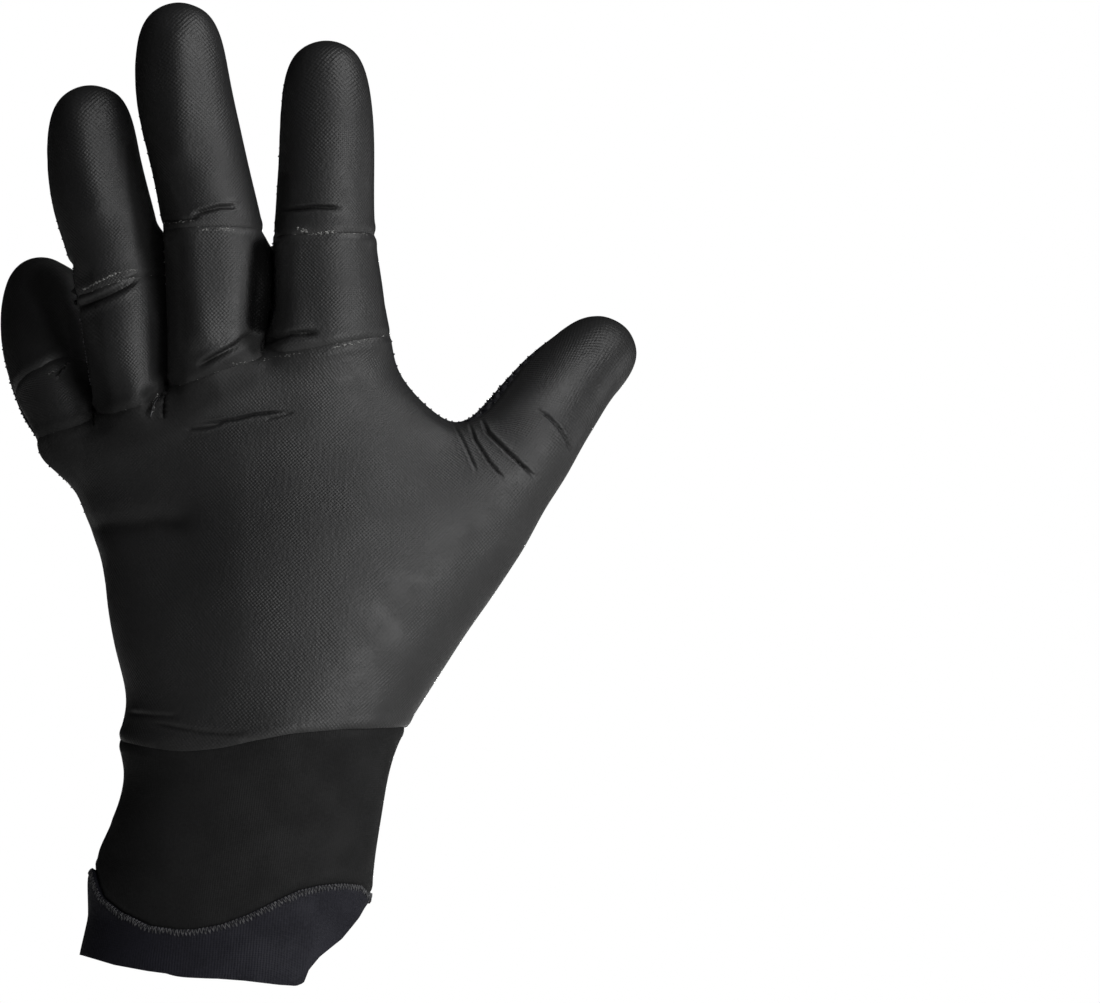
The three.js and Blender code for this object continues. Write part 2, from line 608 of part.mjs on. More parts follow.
const PANELS = [
  { name: "back_panel", cloth: SMOOTH_BLACK, thickness: BACK_NEOPRENE },
  { name: "palm_panel", cloth: GRIP_BLACK, thickness: PALM_NEOPRENE },
  ...["little", "ring", "middle", "index"].flatMap((finger) => [
    { name: `${finger}_lower_panel`, cloth: SMOOTH_BLACK, thickness: BACK_NEOPRENE },
    { name: `${finger}_tip_panel`, cloth: SMOOTH_BLACK, thickness: BACK_NEOPRENE },
  ]),
  { name: "cuff", cloth: CUFF_BLACK, thickness: CUFF_JERSEY },
  { name: "hem_band", cloth: HEM_NAVY, thickness: HEM_JERSEY },
];

drawNet();
const skin = roundNet();
skin.normals = skin.points.map(() => new THREE.Vector3());
for (const { corners } of skin.cells) {
  const normal = cellNormal(skin, corners).normalize();
  corners.forEach((p) => skin.normals[p].add(normal));
}
skin.normals.forEach((normal) => normal.normalize());
pressFolds(skin);

const glove = new THREE.Group();
for (const { name, cloth, thickness } of PANELS) {
  const material = new THREE.MeshStandardMaterial(cloth);
  const mesh = new THREE.Mesh(panelGeometry(skin, name, thickness), material);
  mesh.name = name;
  glove.add(mesh);
}

export default glove;
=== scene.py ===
# %% [markdown]
# # A neoprene glove, finished in Blender
#
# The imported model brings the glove's panels as plain closed sheets of the right size. Here
# they become the glove that is looked at: one smooth skin, its folds and seams, the grip
# texture of the palm, the stitching of the cuff, and a material for every cloth. All sizes
# in the tables are millimetres, in the model's own frame: +Z up the fingers, +X to the
# thumb, and the back of the hand facing -Y.

import math
import random

import bpy
import numpy as np
from mathutils import Matrix, Vector, noise
from mathutils.bvhtree import BVHTree
from mathutils.kdtree import KDTree


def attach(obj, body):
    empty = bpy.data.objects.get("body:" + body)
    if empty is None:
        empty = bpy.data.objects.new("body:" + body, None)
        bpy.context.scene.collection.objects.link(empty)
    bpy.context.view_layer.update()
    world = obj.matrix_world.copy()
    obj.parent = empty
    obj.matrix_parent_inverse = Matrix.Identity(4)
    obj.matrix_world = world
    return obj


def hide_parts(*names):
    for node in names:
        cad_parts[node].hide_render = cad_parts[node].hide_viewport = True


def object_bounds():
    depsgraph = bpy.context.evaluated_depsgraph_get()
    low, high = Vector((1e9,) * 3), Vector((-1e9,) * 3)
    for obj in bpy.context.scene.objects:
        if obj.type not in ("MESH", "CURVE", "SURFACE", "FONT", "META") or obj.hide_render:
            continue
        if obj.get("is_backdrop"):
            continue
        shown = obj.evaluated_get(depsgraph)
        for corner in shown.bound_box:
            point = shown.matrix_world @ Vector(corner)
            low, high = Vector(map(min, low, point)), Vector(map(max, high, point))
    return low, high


MM = 0.001
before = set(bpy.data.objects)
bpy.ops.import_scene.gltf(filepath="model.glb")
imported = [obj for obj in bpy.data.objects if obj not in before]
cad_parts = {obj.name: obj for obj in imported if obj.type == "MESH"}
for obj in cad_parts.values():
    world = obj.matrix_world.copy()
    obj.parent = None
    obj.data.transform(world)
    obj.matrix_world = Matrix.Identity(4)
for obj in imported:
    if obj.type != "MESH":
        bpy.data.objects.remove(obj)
model_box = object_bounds()
scene = bpy.context.scene
print("panels in the packed model:", len(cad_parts))

# %% [markdown]
# ## Camera
#
# A product photographer stands well back with a long lens, so that the glove isn't
# stretched by perspective. The camera looks level along +Y from two metres away. The glove
# stands in the left of its picture, where the photograph has it, so the camera's own line
# of sight passes beside the thumb.

# %% Camera
SIGHT_LINE = (80.6 * MM, -2.0, 118.8 * MM)
PICTURE_WIDTH = 270.3 * MM


def only(obj):
    """Selects one object alone and makes it active."""
    bpy.ops.object.select_all(action="DESELECT")
    obj.select_set(True)
    bpy.context.view_layer.objects.active = obj


bpy.ops.object.select_all(action="DESELECT")
bpy.ops.object.camera_add(location=SIGHT_LINE, rotation=(math.pi / 2, 0, 0))
camera = bpy.context.object
camera.name = "camera"
camera.data.lens = camera.data.sensor_width * -SIGHT_LINE[1] / PICTURE_WIDTH
scene.camera = camera
print("lens", round(camera.data.lens, 1), "mm")

# %% [markdown]
# ## Floor, background and lights
#
# Black neoprene shows its form only by soft highlights. Three large lamps at the right of
# the camera light the glove's right-hand slopes and leave the left-hand ones black, a fourth
# keeps the right edge from going dark. The fifth stands straight behind the glove, where it
# lights the palm alone. A white world would put a bright rim on every edge of black cloth, so
# the world is white where the camera sees it and nearly dark where it lights the glove. The
# pale floor is clear from below, so that the wrist opening can be looked into.

# %% Pale floor
FLOOR_RADIUS = 2.6
FLOOR_HEIGHT = -0.2
FLOOR_TONE = (0.82, 0.82, 0.81)
FLOOR_ROUGH = 0.9


def new_material(name):
    """A material with nodes, its node tree and its one shader."""
    material = bpy.data.materials.new(name)
    material.use_nodes = True
    return material, material.node_tree, material.node_tree.nodes["Principled BSDF"]


bpy.ops.object.select_all(action="DESELECT")
bpy.ops.mesh.primitive_circle_add(
    vertices=96, radius=FLOOR_RADIUS, fill_type="NGON", location=(0, 0, FLOOR_HEIGHT)
)
floor = bpy.context.object
floor.name = "floor"
bpy.ops.object.transform_apply(location=True)
floor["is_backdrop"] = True

floor_paint, tree, paint = new_material("pale_floor")
nodes, links = tree.nodes, tree.links
paint.inputs["Base Color"].default_value = (*FLOOR_TONE, 1)
paint.inputs["Roughness"].default_value = FLOOR_ROUGH
facing = nodes.new("ShaderNodeNewGeometry")
clear = nodes.new("ShaderNodeBsdfTransparent")
either = nodes.new("ShaderNodeMixShader")
links.new(facing.outputs["Backfacing"], either.inputs["Fac"])
links.new(paint.outputs["BSDF"], either.inputs[1])
links.new(clear.outputs["BSDF"], either.inputs[2])
links.new(either.outputs["Shader"], nodes["Material Output"].inputs["Surface"])
floor.data.materials.append(floor_paint)
print("floor", FLOOR_RADIUS * 2, "m wide, at height", FLOOR_HEIGHT, "m")

# %% World and lamps
LAMPS = [
    {"name": "front_lamp", "at": (0.28, -1.46, 0.72), "size": 0.8, "power": 2},
    {"name": "low_right_lamp", "at": (1.04, -1.21, -0.13), "size": 1.1, "power": 21},
    {"name": "high_right_lamp", "at": (0.91, -0.51, 1.35), "size": 1.1, "power": 13},
    {"name": "edge_lamp", "at": (1.56, 0.41, -0.02), "size": 0.8, "power": 3.5},
    {"name": "palm_lamp", "at": (-0.04, 2.0, 0.04), "size": 0.4, "power": 32},
]
LAMPS_LOOK_AT = Vector((0.02, 0, 0.12))
SKY_SEEN = 1.0
SKY_LIGHT = 0.012

world = bpy.data.worlds.new("white_studio")
scene.world = world
world.use_nodes = True
nodes, links = world.node_tree.nodes, world.node_tree.links
background = nodes["Background"]
background.inputs["Color"].default_value = (1, 1, 1, 1)
ray = nodes.new("ShaderNodeLightPath")
strength = nodes.new("ShaderNodeMapRange")
strength.inputs["To Min"].default_value = SKY_LIGHT
strength.inputs["To Max"].default_value = SKY_SEEN
links.new(ray.outputs["Is Camera Ray"], strength.inputs["Value"])
links.new(strength.outputs["Result"], background.inputs["Strength"])

for lamp in LAMPS:
    bpy.ops.object.light_add(type="AREA", location=lamp["at"])
    light = bpy.context.object
    light.name = lamp["name"]
    light.data.size = lamp["size"]
    light.data.energy = lamp["power"]
    towards = LAMPS_LOOK_AT - light.location
    light.rotation_euler = towards.to_track_quat("-Z", "Y").to_euler()
scene.view_settings.view_transform = "Standard"
print("lamps", len(LAMPS))

# %% [markdown]
# ## One skin out of twelve panels
#
# The real glove is cut from flat neoprene and glued edge to edge, and the hand inside
# stretches it into one smooth skin with fine seam lines. Smoothing each panel by itself
# would leave steps at the seams. So each CAD panel is copied, the copy keeps only its outer
# side, and all twelve are joined and their edges welded. A marker material on each panel
# remembers which is which.

# %% The outer side of each panel
PANELS = [
    "back_panel",
    "palm_panel",
    "little_lower_panel",
    "little_tip_panel",
    "ring_lower_panel",
    "ring_tip_panel",
    "middle_lower_panel",
    "middle_tip_panel",
    "index_lower_panel",
    "index_tip_panel",
    "cuff",
    "hem_band",
]
SHARP_EDGE = math.radians(40)
SAME_PLACE = 0.01 * MM
WELD = 0.7 * MM


def new_object(name, data):
    """Puts data into the scene as an object, selected alone."""
    obj = bpy.data.objects.new(name, data)
    scene.collection.objects.link(obj)
    only(obj)
    return obj


def area_of(obj):
    return sum(face.area for face in obj.data.polygons)


def outer_side(node):
    """Copies a CAD panel, splits it at its sharp edges and keeps the largest side."""
    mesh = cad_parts[node].data.copy()
    mesh.materials.clear()
    mesh.materials.append(bpy.data.materials.new(node + "_marker"))
    new_object(node + "_copy", mesh)
    bpy.ops.mesh.customdata_custom_splitnormals_clear()
    bpy.ops.object.mode_set(mode="EDIT")
    bpy.ops.mesh.select_mode(type="EDGE")
    bpy.ops.mesh.select_all(action="SELECT")
    bpy.ops.mesh.remove_doubles(threshold=SAME_PLACE)
    bpy.ops.mesh.select_all(action="DESELECT")
    bpy.ops.mesh.edges_select_sharp(sharpness=SHARP_EDGE)
    bpy.ops.mesh.edge_split(type="EDGE")
    bpy.ops.mesh.separate(type="LOOSE")
    bpy.ops.object.mode_set(mode="OBJECT")
    parts = sorted(bpy.context.selected_objects, key=area_of)
    outer = parts.pop()
    for part in parts:
        bpy.data.objects.remove(part)
    print(node, "outer faces", len(outer.data.polygons))
    return outer


sides = [outer_side(node) for node in PANELS]

# %% Welding the seams
only(sides[0])
for side in sides:
    side.select_set(True)
bpy.ops.object.join()
skin = bpy.context.object
skin.name = "skin"
bpy.ops.object.mode_set(mode="EDIT")
bpy.ops.mesh.select_all(action="SELECT")
bpy.ops.mesh.remove_doubles(threshold=WELD)
bpy.ops.object.mode_set(mode="OBJECT")
print("welded skin faces", len(skin.data.polygons))

# %% [markdown]
# A few slivers of the panels' edge walls came along with the outer sides. Each hangs from a
# seam by one edge and is open along the others, so it is found as a face with an edge that
# three faces share and another that only it has.

# %% Clearing wall slivers and making quads
RIM_TOP = 30 * MM


def numbers_of(items, what, width=1, kind=float):
    """One property of every item of a mesh, as an array."""
    values = np.empty((len(items), width), kind)
    items.foreach_get(what, values.ravel())
    return values if width > 1 else values[:, 0]


def edge_of_loops(mesh):
    return numbers_of(mesh.loops, "edge_index", kind=int)


def faces_round_edges(mesh):
    """How many faces use each edge."""
    return np.bincount(edge_of_loops(mesh), minlength=len(mesh.edges))


def select_slivers(mesh):
    uses = faces_round_edges(mesh)
    found = 0
    for face in mesh.polygons:
        around = [uses[mesh.loops[i].edge_index] for i in face.loop_indices]
        hangs = max(around) > 2 and min(around) == 1
        dangles = around.count(1) > 1 and face.center.z > RIM_TOP
        face.select = bool(hangs or dangles)
        found += face.select
    return found


def pick_faces_only():
    """Sets edit mode to pick faces, with nothing picked yet."""
    bpy.ops.object.mode_set(mode="EDIT")
    bpy.ops.mesh.select_mode(type="FACE")
    bpy.ops.mesh.select_all(action="DESELECT")
    bpy.ops.object.mode_set(mode="OBJECT")


pick_faces_only()
while found := select_slivers(skin.data):
    print("slivers", found)
    bpy.ops.object.mode_set(mode="EDIT")
    bpy.ops.mesh.delete(type="FACE")
    bpy.ops.object.mode_set(mode="OBJECT")

# %% [markdown]
# The sharp folds in the webs between the fingers have left small holes. They are filled, each
# new face takes the panel that most of its neighbours belong to, and the triangles are paired
# into quads again, because only quads round off evenly.

# %% Filling the webs
HOLE_SIDES = 8
whole = len(skin.data.polygons)
bpy.ops.object.mode_set(mode="EDIT")
bpy.ops.mesh.select_all(action="SELECT")
bpy.ops.mesh.fill_holes(sides=HOLE_SIDES)
bpy.ops.object.mode_set(mode="OBJECT")
beside = {}
for face in skin.data.polygons:
    for i in face.loop_indices:
        beside.setdefault(skin.data.loops[i].edge_index, []).append(face)
for face in list(skin.data.polygons)[whole:]:
    around = [near for i in face.loop_indices for near in beside[skin.data.loops[i].edge_index]]
    panels = [near.material_index for near in around if near.index < whole]
    face.material_index = max(set(panels), key=panels.count)
print("holes filled", len(skin.data.polygons) - whole)
bpy.ops.object.mode_set(mode="EDIT")
bpy.ops.mesh.select_all(action="SELECT")
bpy.ops.mesh.tris_convert_to_quads(face_threshold=math.pi, shape_threshold=math.pi, materials=True)
bpy.ops.mesh.normals_make_consistent(inside=False)
bpy.ops.object.mode_set(mode="OBJECT")
uses = faces_round_edges(skin.data)
print("skin faces", len(skin.data.polygons))
print("triangles left", sum(len(face.vertices) == 3 for face in skin.data.polygons))
print("open edges, all at the rim:", sum(uses == 1), "edges of three faces:", sum(uses > 2))

# %% [markdown]
# ## Flat patterns
#
# Every weave and texture has to follow its panel as it does on the real glove, where the
# texture was on the flat sheet before it was cut. So each panel is unwrapped flat, as its
# paper pattern was. Seams are marked where two panels meet, and the cuff and the hem band,
# which are tubes, are cut open down the palm side. Each pattern is then scaled so that one
# unit is one millimetre, and turned so that its V runs up the glove.

# %% Marking the cuts
CUT_START = Vector((2, 22, 62)) * MM
LEAST_FALL = -0.5


def panel_of_faces(mesh):
    return numbers_of(mesh.polygons, "material_index", kind=int)


def panel_of_loops(mesh):
    return np.repeat(panel_of_faces(mesh), numbers_of(mesh.polygons, "loop_total", kind=int))


def edges_between_panels(mesh):
    """The numbers of the edges where faces of two panels meet."""
    low = np.full(len(mesh.edges), len(PANELS))
    high = np.full(len(mesh.edges), -1)
    np.minimum.at(low, edge_of_loops(mesh), panel_of_loops(mesh))
    np.maximum.at(high, edge_of_loops(mesh), panel_of_loops(mesh))
    return np.flatnonzero(high > low)


for number in edges_between_panels(skin.data):
    skin.data.edges[number].use_seam = True
reach = {}
for edge in skin.data.edges:
    a, b = edge.vertices
    reach.setdefault(a, []).append((b, edge))
    reach.setdefault(b, []).append((a, edge))
here = min(reach, key=lambda v: (skin.data.vertices[v].co - CUT_START).length)
cut = 0
while True:
    place = skin.data.vertices[here].co
    lower = [(skin.data.vertices[v].co - place).normalized().z for v, _ in reach[here]]
    steepest = int(np.argmin(lower))
    if lower[steepest] > LEAST_FALL:
        break
    here, edge = reach[here][steepest]
    edge.use_seam = True
    cut += 1
print("edges cut down the palm side of the cuff", cut, "to height", round(place.z / MM, 1))

# %% Unwrapping to millimetres
PATTERN_MARGIN = 0.01
only(skin)
bpy.ops.object.mode_set(mode="EDIT")
bpy.ops.mesh.select_all(action="SELECT")
bpy.ops.uv.unwrap(method="ANGLE_BASED", margin=PATTERN_MARGIN)
bpy.ops.object.mode_set(mode="OBJECT")


def as_array(mesh, what):
    """The places ("co") or the normals ("normal") of a mesh's points."""
    return numbers_of(mesh.vertices, what, 3)


def flat_pattern(mesh):
    return numbers_of(mesh.uv_layers.active.data, "uv", 2)


def scale_patterns(mesh):
    """Scales each panel's flat pattern to millimetres and turns its V up the glove."""
    uv = flat_pattern(mesh)
    height = as_array(mesh, "co")[numbers_of(mesh.loops, "vertex_index", kind=int), 2] / MM
    owner = panel_of_loops(mesh)
    areas = np.zeros((len(PANELS), 2))
    for face in mesh.polygons:
        u, v = uv[face.loop_start : face.loop_start + face.loop_total].T
        flat = abs(np.dot(u, np.roll(v, 1)) - np.dot(v, np.roll(u, 1))) / 2
        areas[face.material_index] += (face.area / MM**2, flat)
    for number, (real, flat) in enumerate(areas):
        mine = owner == number
        uv[mine] = (uv[mine] - uv[mine].mean(0)) * math.sqrt(real / flat)
        slope, *_ = np.linalg.lstsq(np.c_[uv[mine], np.ones(mine.sum())], height[mine], rcond=None)
        up = slope[:2] / np.linalg.norm(slope[:2])
        uv[mine] = np.c_[uv[mine] @ (up[1], -up[0]), uv[mine] @ up]
        print(PANELS[number], "cloth", round(real / 100, 1), "square centimetres")
    mesh.uv_layers.active.data.foreach_set("uv", uv.ravel())


scale_patterns(skin.data)

# %% [markdown]
# ## Rounding the skin
#
# Subdivision surfaces turn the coarse net into smooth cloth with points 0.6 mm apart, close
# enough to press folds and seams into. The same coarse net, set in by the thickness of the
# neoprene and turned inside out, is kept as the jersey lining that shows through the wrist.

# %% Lining
NEOPRENE = 2.4 * MM
lining = new_object("lining", skin.data.copy())
tube = {PANELS.index("cuff"), PANELS.index("hem_band")}
for face in lining.data.polygons:
    face.select = face.material_index in tube
bpy.ops.object.mode_set(mode="EDIT")
bpy.ops.mesh.delete(type="FACE")
bpy.ops.mesh.select_all(action="SELECT")
bpy.ops.transform.shrink_fatten(value=-NEOPRENE)
bpy.ops.mesh.flip_normals()
bpy.ops.object.mode_set(mode="OBJECT")


def rounded(obj, levels):
    """Applies a subdivision surface and shades the result smooth."""
    only(obj)
    bpy.ops.object.modifier_add(type="SUBSURF")
    obj.modifiers[-1].levels = levels
    obj.modifiers[-1].render_levels = levels
    bpy.ops.object.modifier_apply(modifier=obj.modifiers[-1].name)
    bpy.ops.object.shade_smooth()
    print(obj.name, "faces", len(obj.data.polygons))


rounded(lining, 1)
rounded(skin, 3)

# %% [markdown]
# ## Fingers that touch
#
# In the photograph the fingers are pressed together near the palm, with black wedges of
# shade and no light between them. The model leaves them a hair apart, so that its panels stay
# clear of each other. Each point on a finger's side looks straight ahead for the next finger,
# and where that one is near, the point moves half of the way to it.

# %% Helpers for moving points
NOTICED = 0.01


def set_places(mesh, place):
    mesh.vertices.foreach_set("co", place.ravel())
    mesh.update()


def smooth_step(value, low, high):
    t = np.clip((value - low) / (high - low), 0, 1)
    return t * t * (3 - 2 * t)


def surface_of(mesh):
    """A search tree of the mesh's faces, for rays and nearest points."""
    corners = [vertex.co for vertex in mesh.vertices]
    return BVHTree.FromPolygons(corners, [tuple(face.vertices) for face in mesh.polygons])


def spread(mesh, values, rounds):
    """Evens out a number held by each point with those of its neighbours."""
    ends = numbers_of(mesh.edges, "vertices", 2, int)
    a, b = ends.T
    count = np.bincount(ends.ravel(), minlength=len(values)) + 1
    for _ in range(rounds):
        total = values.copy()
        np.add.at(total, a, values[b])
        np.add.at(total, b, values[a])
        values = total / count
    return values


print("points of the skin", len(skin.data.vertices))

# %% Closing the gaps between fingers
FINGER_ZONE = (126, 196)
CLOSED_GAP = 0.9
FREE_GAP = 2.2
PRESSED = 0.06
SIDEWAYS = 0.3
PRESS_SPREAD = 3


def close_finger_gaps(mesh):
    place = as_array(mesh, "co")
    normal = as_array(mesh, "normal")
    surface = surface_of(mesh)
    height = place[:, 2] / MM
    zone = (height > FINGER_ZONE[0]) & (height < FINGER_ZONE[1]) & (abs(normal[:, 0]) > SIDEWAYS)
    push = np.zeros(len(place))
    for number in np.flatnonzero(zone):
        ahead = Vector(normal[number])
        start = Vector(place[number]) + ahead * PRESSED * MM
        _, met, _, gap = surface.ray_cast(start, ahead, FREE_GAP * MM)
        if met is not None and met.dot(ahead) < -SIDEWAYS:
            gap = gap / MM + PRESSED
            push[number] = (gap / 2 + PRESSED) * (1 - smooth_step(gap, CLOSED_GAP, FREE_GAP))
    push = np.maximum(push, spread(mesh, push, PRESS_SPREAD))
    set_places(mesh, place + normal * push[:, None] * MM)
    print("points pressed to the next finger", int((push > NOTICED).sum()))


close_finger_gaps(skin.data)

# %% [markdown]
# ## Seams out of place
#
# Two seams run a few millimetres from where the photograph has them: the one across the
# little finger sags more, and the palm's cloth comes a little way round the upper edge of the
# thumb. The skin there slides over its own shape. Every point near the line is moved, and
# then put back on the nearest place of the surface as it was, so only the seam changes place.

# %% Sliding the skin
SLIDES = [
    {"name": "little_joint", "reach": 8,
     "line": [(-51, 149.5), (-44.2, 156), (-38.8, 156.5), (-35.6, 156)],
     "moves": [(0, 0, -2.3), (0, 0, -6), (0, 0, -3.3), (0, 0, -1.7)]},
    {"name": "upper_edge_of_thumb", "reach": 14,
     "line": [(60, 136), (64.5, 139.5), (69.5, 144.5), (76, 151.5), (83, 157), (89, 160.5), (95, 160)],
     "moves": [(0, -2, 0), (0, -7, 0), (0, -9, 0), (0, -9, 0), (0, -9, 0), (0, -7, 0), (0, -3, 0)]},
]
BEFORE_GLOVE = -0.2


def hump(off, half):
    """1 at no distance, falling smoothly to nearly 0 at twice this half width."""
    return np.exp(-((off / half) ** 2))


def along_line(points, line):
    """Each point's distance from a line of straight pieces, and how far along it lies."""
    line = np.array(line, float)
    lengths = np.linalg.norm(np.diff(line, axis=0), axis=1)
    best = np.full(len(points), np.inf)
    share = np.zeros(len(points))
    done = 0.0
    for start, end, length in zip(line, line[1:], lengths):
        t = np.clip((points - start) @ (end - start) / length**2, 0, 1)
        off = np.linalg.norm(points - start - t[:, None] * (end - start), axis=1)
        nearer = off < best
        best[nearer] = off[nearer]
        share[nearer] = (done + t[nearer] * length) / lengths.sum()
        done += length
    return best, share


def straight_look(surface, x, z):
    """The place, normal, face and distance that a look along +Y meets, or four times None."""
    return surface.ray_cast(Vector((x * MM, BEFORE_GLOVE, z * MM)), Vector((0, 1, 0)))


def from_front(surface, x, z):
    """The place that a straight look meets, or the nearest one if it meets none."""
    return straight_look(surface, x, z)[0] or surface.find_nearest(Vector((x * MM, 0, z * MM)))[0]


def slide_skin(mesh, slides):
    place = as_array(mesh, "co")
    surface = surface_of(mesh)
    for slide in slides:
        line = np.array([from_front(surface, x, z) for x, z in slide["line"]]) / MM
        off, share = along_line(place / MM, line)
        steps = np.linalg.norm(np.diff(line, axis=0), axis=1)
        shares = np.r_[0, np.cumsum(steps)] / steps.sum()
        near = hump(off, slide["reach"])
        for axis in range(3):
            moved = np.interp(share, shares, [move[axis] for move in slide["moves"]])
            place[:, axis] += moved * near * MM
        slid = np.flatnonzero(near > NOTICED)
        for number in slid:
            place[number] = surface.find_nearest(place[number])[0]
        print(slide["name"], "slid", len(slid), "points")
    set_places(mesh, place)


slide_skin(skin.data, SLIDES)

# %% [markdown]
# ## Valleys between the fingers
#
# Near the palm each finger's side falls away steeply into a narrow black valley, and the
# next finger hides the rest. Each valley is a line as the camera sees it, up to the height
# where daylight starts between the two fingers. On each side of it the skin is pushed back
# by that side's depth over its width, and drawn to the line until no gap is left.

# %% Sinking the valleys
VALLEYS = [
    {"name": "little_and_ring", "left": {"wide": 3, "deep": 1.5}, "right": {"wide": 5, "deep": 3.5},
     "line": [(-31.7, 140), (-31.7, 145.2), (-33.3, 154.8), (-34.7, 164.1), (-35.5, 168.8),
              (-36.5, 174)]},
    {"name": "ring_and_middle", "left": {"wide": 4.5, "deep": 3}, "right": {"wide": 3, "deep": 2},
     "line": [(-14.5, 142), (-13.3, 150), (-13.3, 160.9), (-13.8, 173.7), (-14.1, 183)]},
    {"name": "middle_and_index", "left": {"wide": 6.5, "deep": 4}, "right": {"wide": 3, "deep": 2},
     "line": [(9.8, 157), (11.1, 160.9), (12.3, 173.2), (12.8, 180)]},
]
DRAWN_TOGETHER = 3
OVERLAP = 0.1
DRAWN_WIDTH = 3.5
VALLEY_FADE = 5
VALLEY_CURVE = 1.5
NOT_THE_PALM = 0.5


def seen(place):
    """Where the camera sees points, in mm across and up on the plane through the origin."""
    eye = np.array(SIGHT_LINE)
    near = -eye[1] / (place[:, 1] - eye[1])
    return (eye[[0, 2]] + (place[:, [0, 2]] - eye[[0, 2]]) * near[:, None]) / MM


def sink_valleys(mesh):
    place = as_array(mesh, "co")
    normal = as_array(mesh, "normal")
    across, up = seen(place).T
    for valley in VALLEYS:
        line = np.array(valley["line"], float)
        beside = across - np.interp(up, line[:, 1], line[:, 0])
        low, high = line[0, 1], line[-1, 1]
        span = smooth_step(up, low - VALLEY_FADE, low) * (1 - smooth_step(up, high, high + VALLEY_FADE))
        for side, way in (("left", -1), ("right", 1)):
            mine = (beside * way > 0) & (normal[:, 1] < NOT_THE_PALM)
            near = np.clip(1 - abs(beside) / valley[side]["wide"], 0, 1) ** VALLEY_CURVE * span
            place[:, 1] += np.where(mine, near * valley[side]["deep"], 0) * MM
            drawn = np.clip(1 - abs(beside) / DRAWN_WIDTH, 0, 1) * span * DRAWN_TOGETHER
            drawn = np.minimum(drawn, abs(beside) + OVERLAP)
            place[:, 0] -= np.where(beside * way > 0, drawn * way, 0) * MM
    set_places(mesh, place)
    print("valleys", len(VALLEYS))


sink_valleys(skin.data)

# %% [markdown]
# Almost no light reaches the bottom of a valley or a finger's side that faces the next one. How far a
# point lies in that shade is kept with the mesh, and the materials paint it there: a darker base
# colour, which is painted shade, and a duller finish. A few rows paint shade below the knuckles and
# above the cuff as well. Each row gives how strong a shade is, the line of its middle and half of its
# width along it. The right side of the middle finger rubs against the index finger. It is smooth, so
# that it mirrors that finger's dark side, and this is kept as a second number.

# %% Painted shade, mostly between the fingers
SHADES = [
    {"name": "little_and_ring", "deep": 1.0,
     "line": [(-43.7, 172), (-40.6, 165.8), (-37.8, 160), (-34.5, 154), (-32, 148), (-29.4, 143)],
     "half": [6, 4.8, 5.6, 4.6, 4.5, 4]},
    {"name": "ring_and_middle", "deep": 1.0,
     "line": [(-16.5, 180.6), (-14.5, 174.7), (-14, 168.8), (-13, 162.9), (-12.8, 157), (-11.2, 151.1),
              (-11, 147)],
     "half": [3.8, 4.6, 4.2, 3, 2.7, 3.3, 3.2]},
    {"name": "ring_right_side", "deep": 0.9,
     "line": [(-22.5, 206), (-21.3, 195), (-19.8, 188), (-18, 182)], "half": [1.4, 1.8, 2, 3]},
    {"name": "middle_left_side", "deep": 0.9,
     "line": [(-14.3, 196), (-12.5, 189), (-12.5, 184)], "half": [1.8, 3, 2]},
    {"name": "middle_and_index", "deep": 1.0,
     "line": [(10.7, 178), (10.7, 165.8), (11.5, 160)], "half": [3.4, 3.4, 3.8]},
    {"name": "middle_right_side", "deep": 1.0,
     "line": [(9.8, 181), (9.4, 176), (9.2, 166), (9, 157.5)], "half": [2.6, 3.8, 4, 3.8]},
    {"name": "below_the_middle_knuckle", "deep": 0.5,
     "line": [(-5, 147.5), (1, 148.5), (5, 149.5)], "half": [6, 5.5, 4.5]},
    {"name": "foot_of_middle_finger", "deep": 0.5,
     "line": [(0, 152.3), (5, 154.2), (10.5, 156)], "half": [1.8, 2, 2.4]},
    {"name": "above_the_cuff", "deep": 0.55,
     "line": [(-15, 58.6), (-6, 58.8), (3, 60.2)], "half": [1.5, 1.8, 1.5]},
    {"name": "index_left_side", "deep": 0.9,
     "line": [(15.4, 198), (15.6, 192), (14, 186)], "half": [1.5, 1.6, 1.2]},
    {"name": "web_of_ring_finger", "deep": 0.75,
     "line": [(-18, 145), (-15, 140.5)], "half": [2.4, 2.8]},
    {"name": "below_the_knuckles", "deep": 0.7,
     "line": [(-40, 133), (-27, 136), (-14, 139), (-3, 146)], "half": [8, 7, 6, 4]},
]
RUBBED = [
    {"name": "middle_right_side", "deep": 1.0,
     "line": [(9.9, 181), (9.8, 176), (9.7, 164)], "half": [3, 3.8, 3.8]},
]
print("shades", len(SHADES), "rubbed", len(RUBBED))

# %% Keeping the shade with the mesh
SHADE_SOFT = (0.4, 1.5)
SHADE_TURN = {"from": 0.6, "rate": 3}


def keep_values(mesh, name, values):
    """Stores one number for each point, for the materials to read."""
    store = mesh.attributes.new(name, "FLOAT", "POINT")
    store.data.foreach_set("value", values)


def strongest(view, rows):
    """How strongly each point is in one of the rows, from 0 to 1."""
    found = np.zeros(len(view))
    for row in rows:
        off, share = along_line(view, row["line"])
        half = np.interp(share, np.linspace(0, 1, len(row["half"])), row["half"])
        found = np.maximum(found, row["deep"] * (1 - smooth_step(off / half, *SHADE_SOFT)))
    return found


def shade_valleys(mesh):
    view = seen(as_array(mesh, "co"))
    facing = np.clip((SHADE_TURN["from"] - as_array(mesh, "normal")[:, 1]) * SHADE_TURN["rate"], 0, 1)
    for name, rows in (("shaded", SHADES), ("rubbed", RUBBED)):
        # Painted shade: how far each point lies in the shade that the materials paint darker.
        values = strongest(view, rows) * facing
        keep_values(mesh, name, values)
        print(name, "points", int((values > NOTICED).sum()))


shade_valleys(skin.data)

# %% [markdown]
# The webs at the foot of the fingers are sharp folds in the model. Each point near one is
# moved to the mean of its neighbours again and again, which turns the fold into a soft dip.

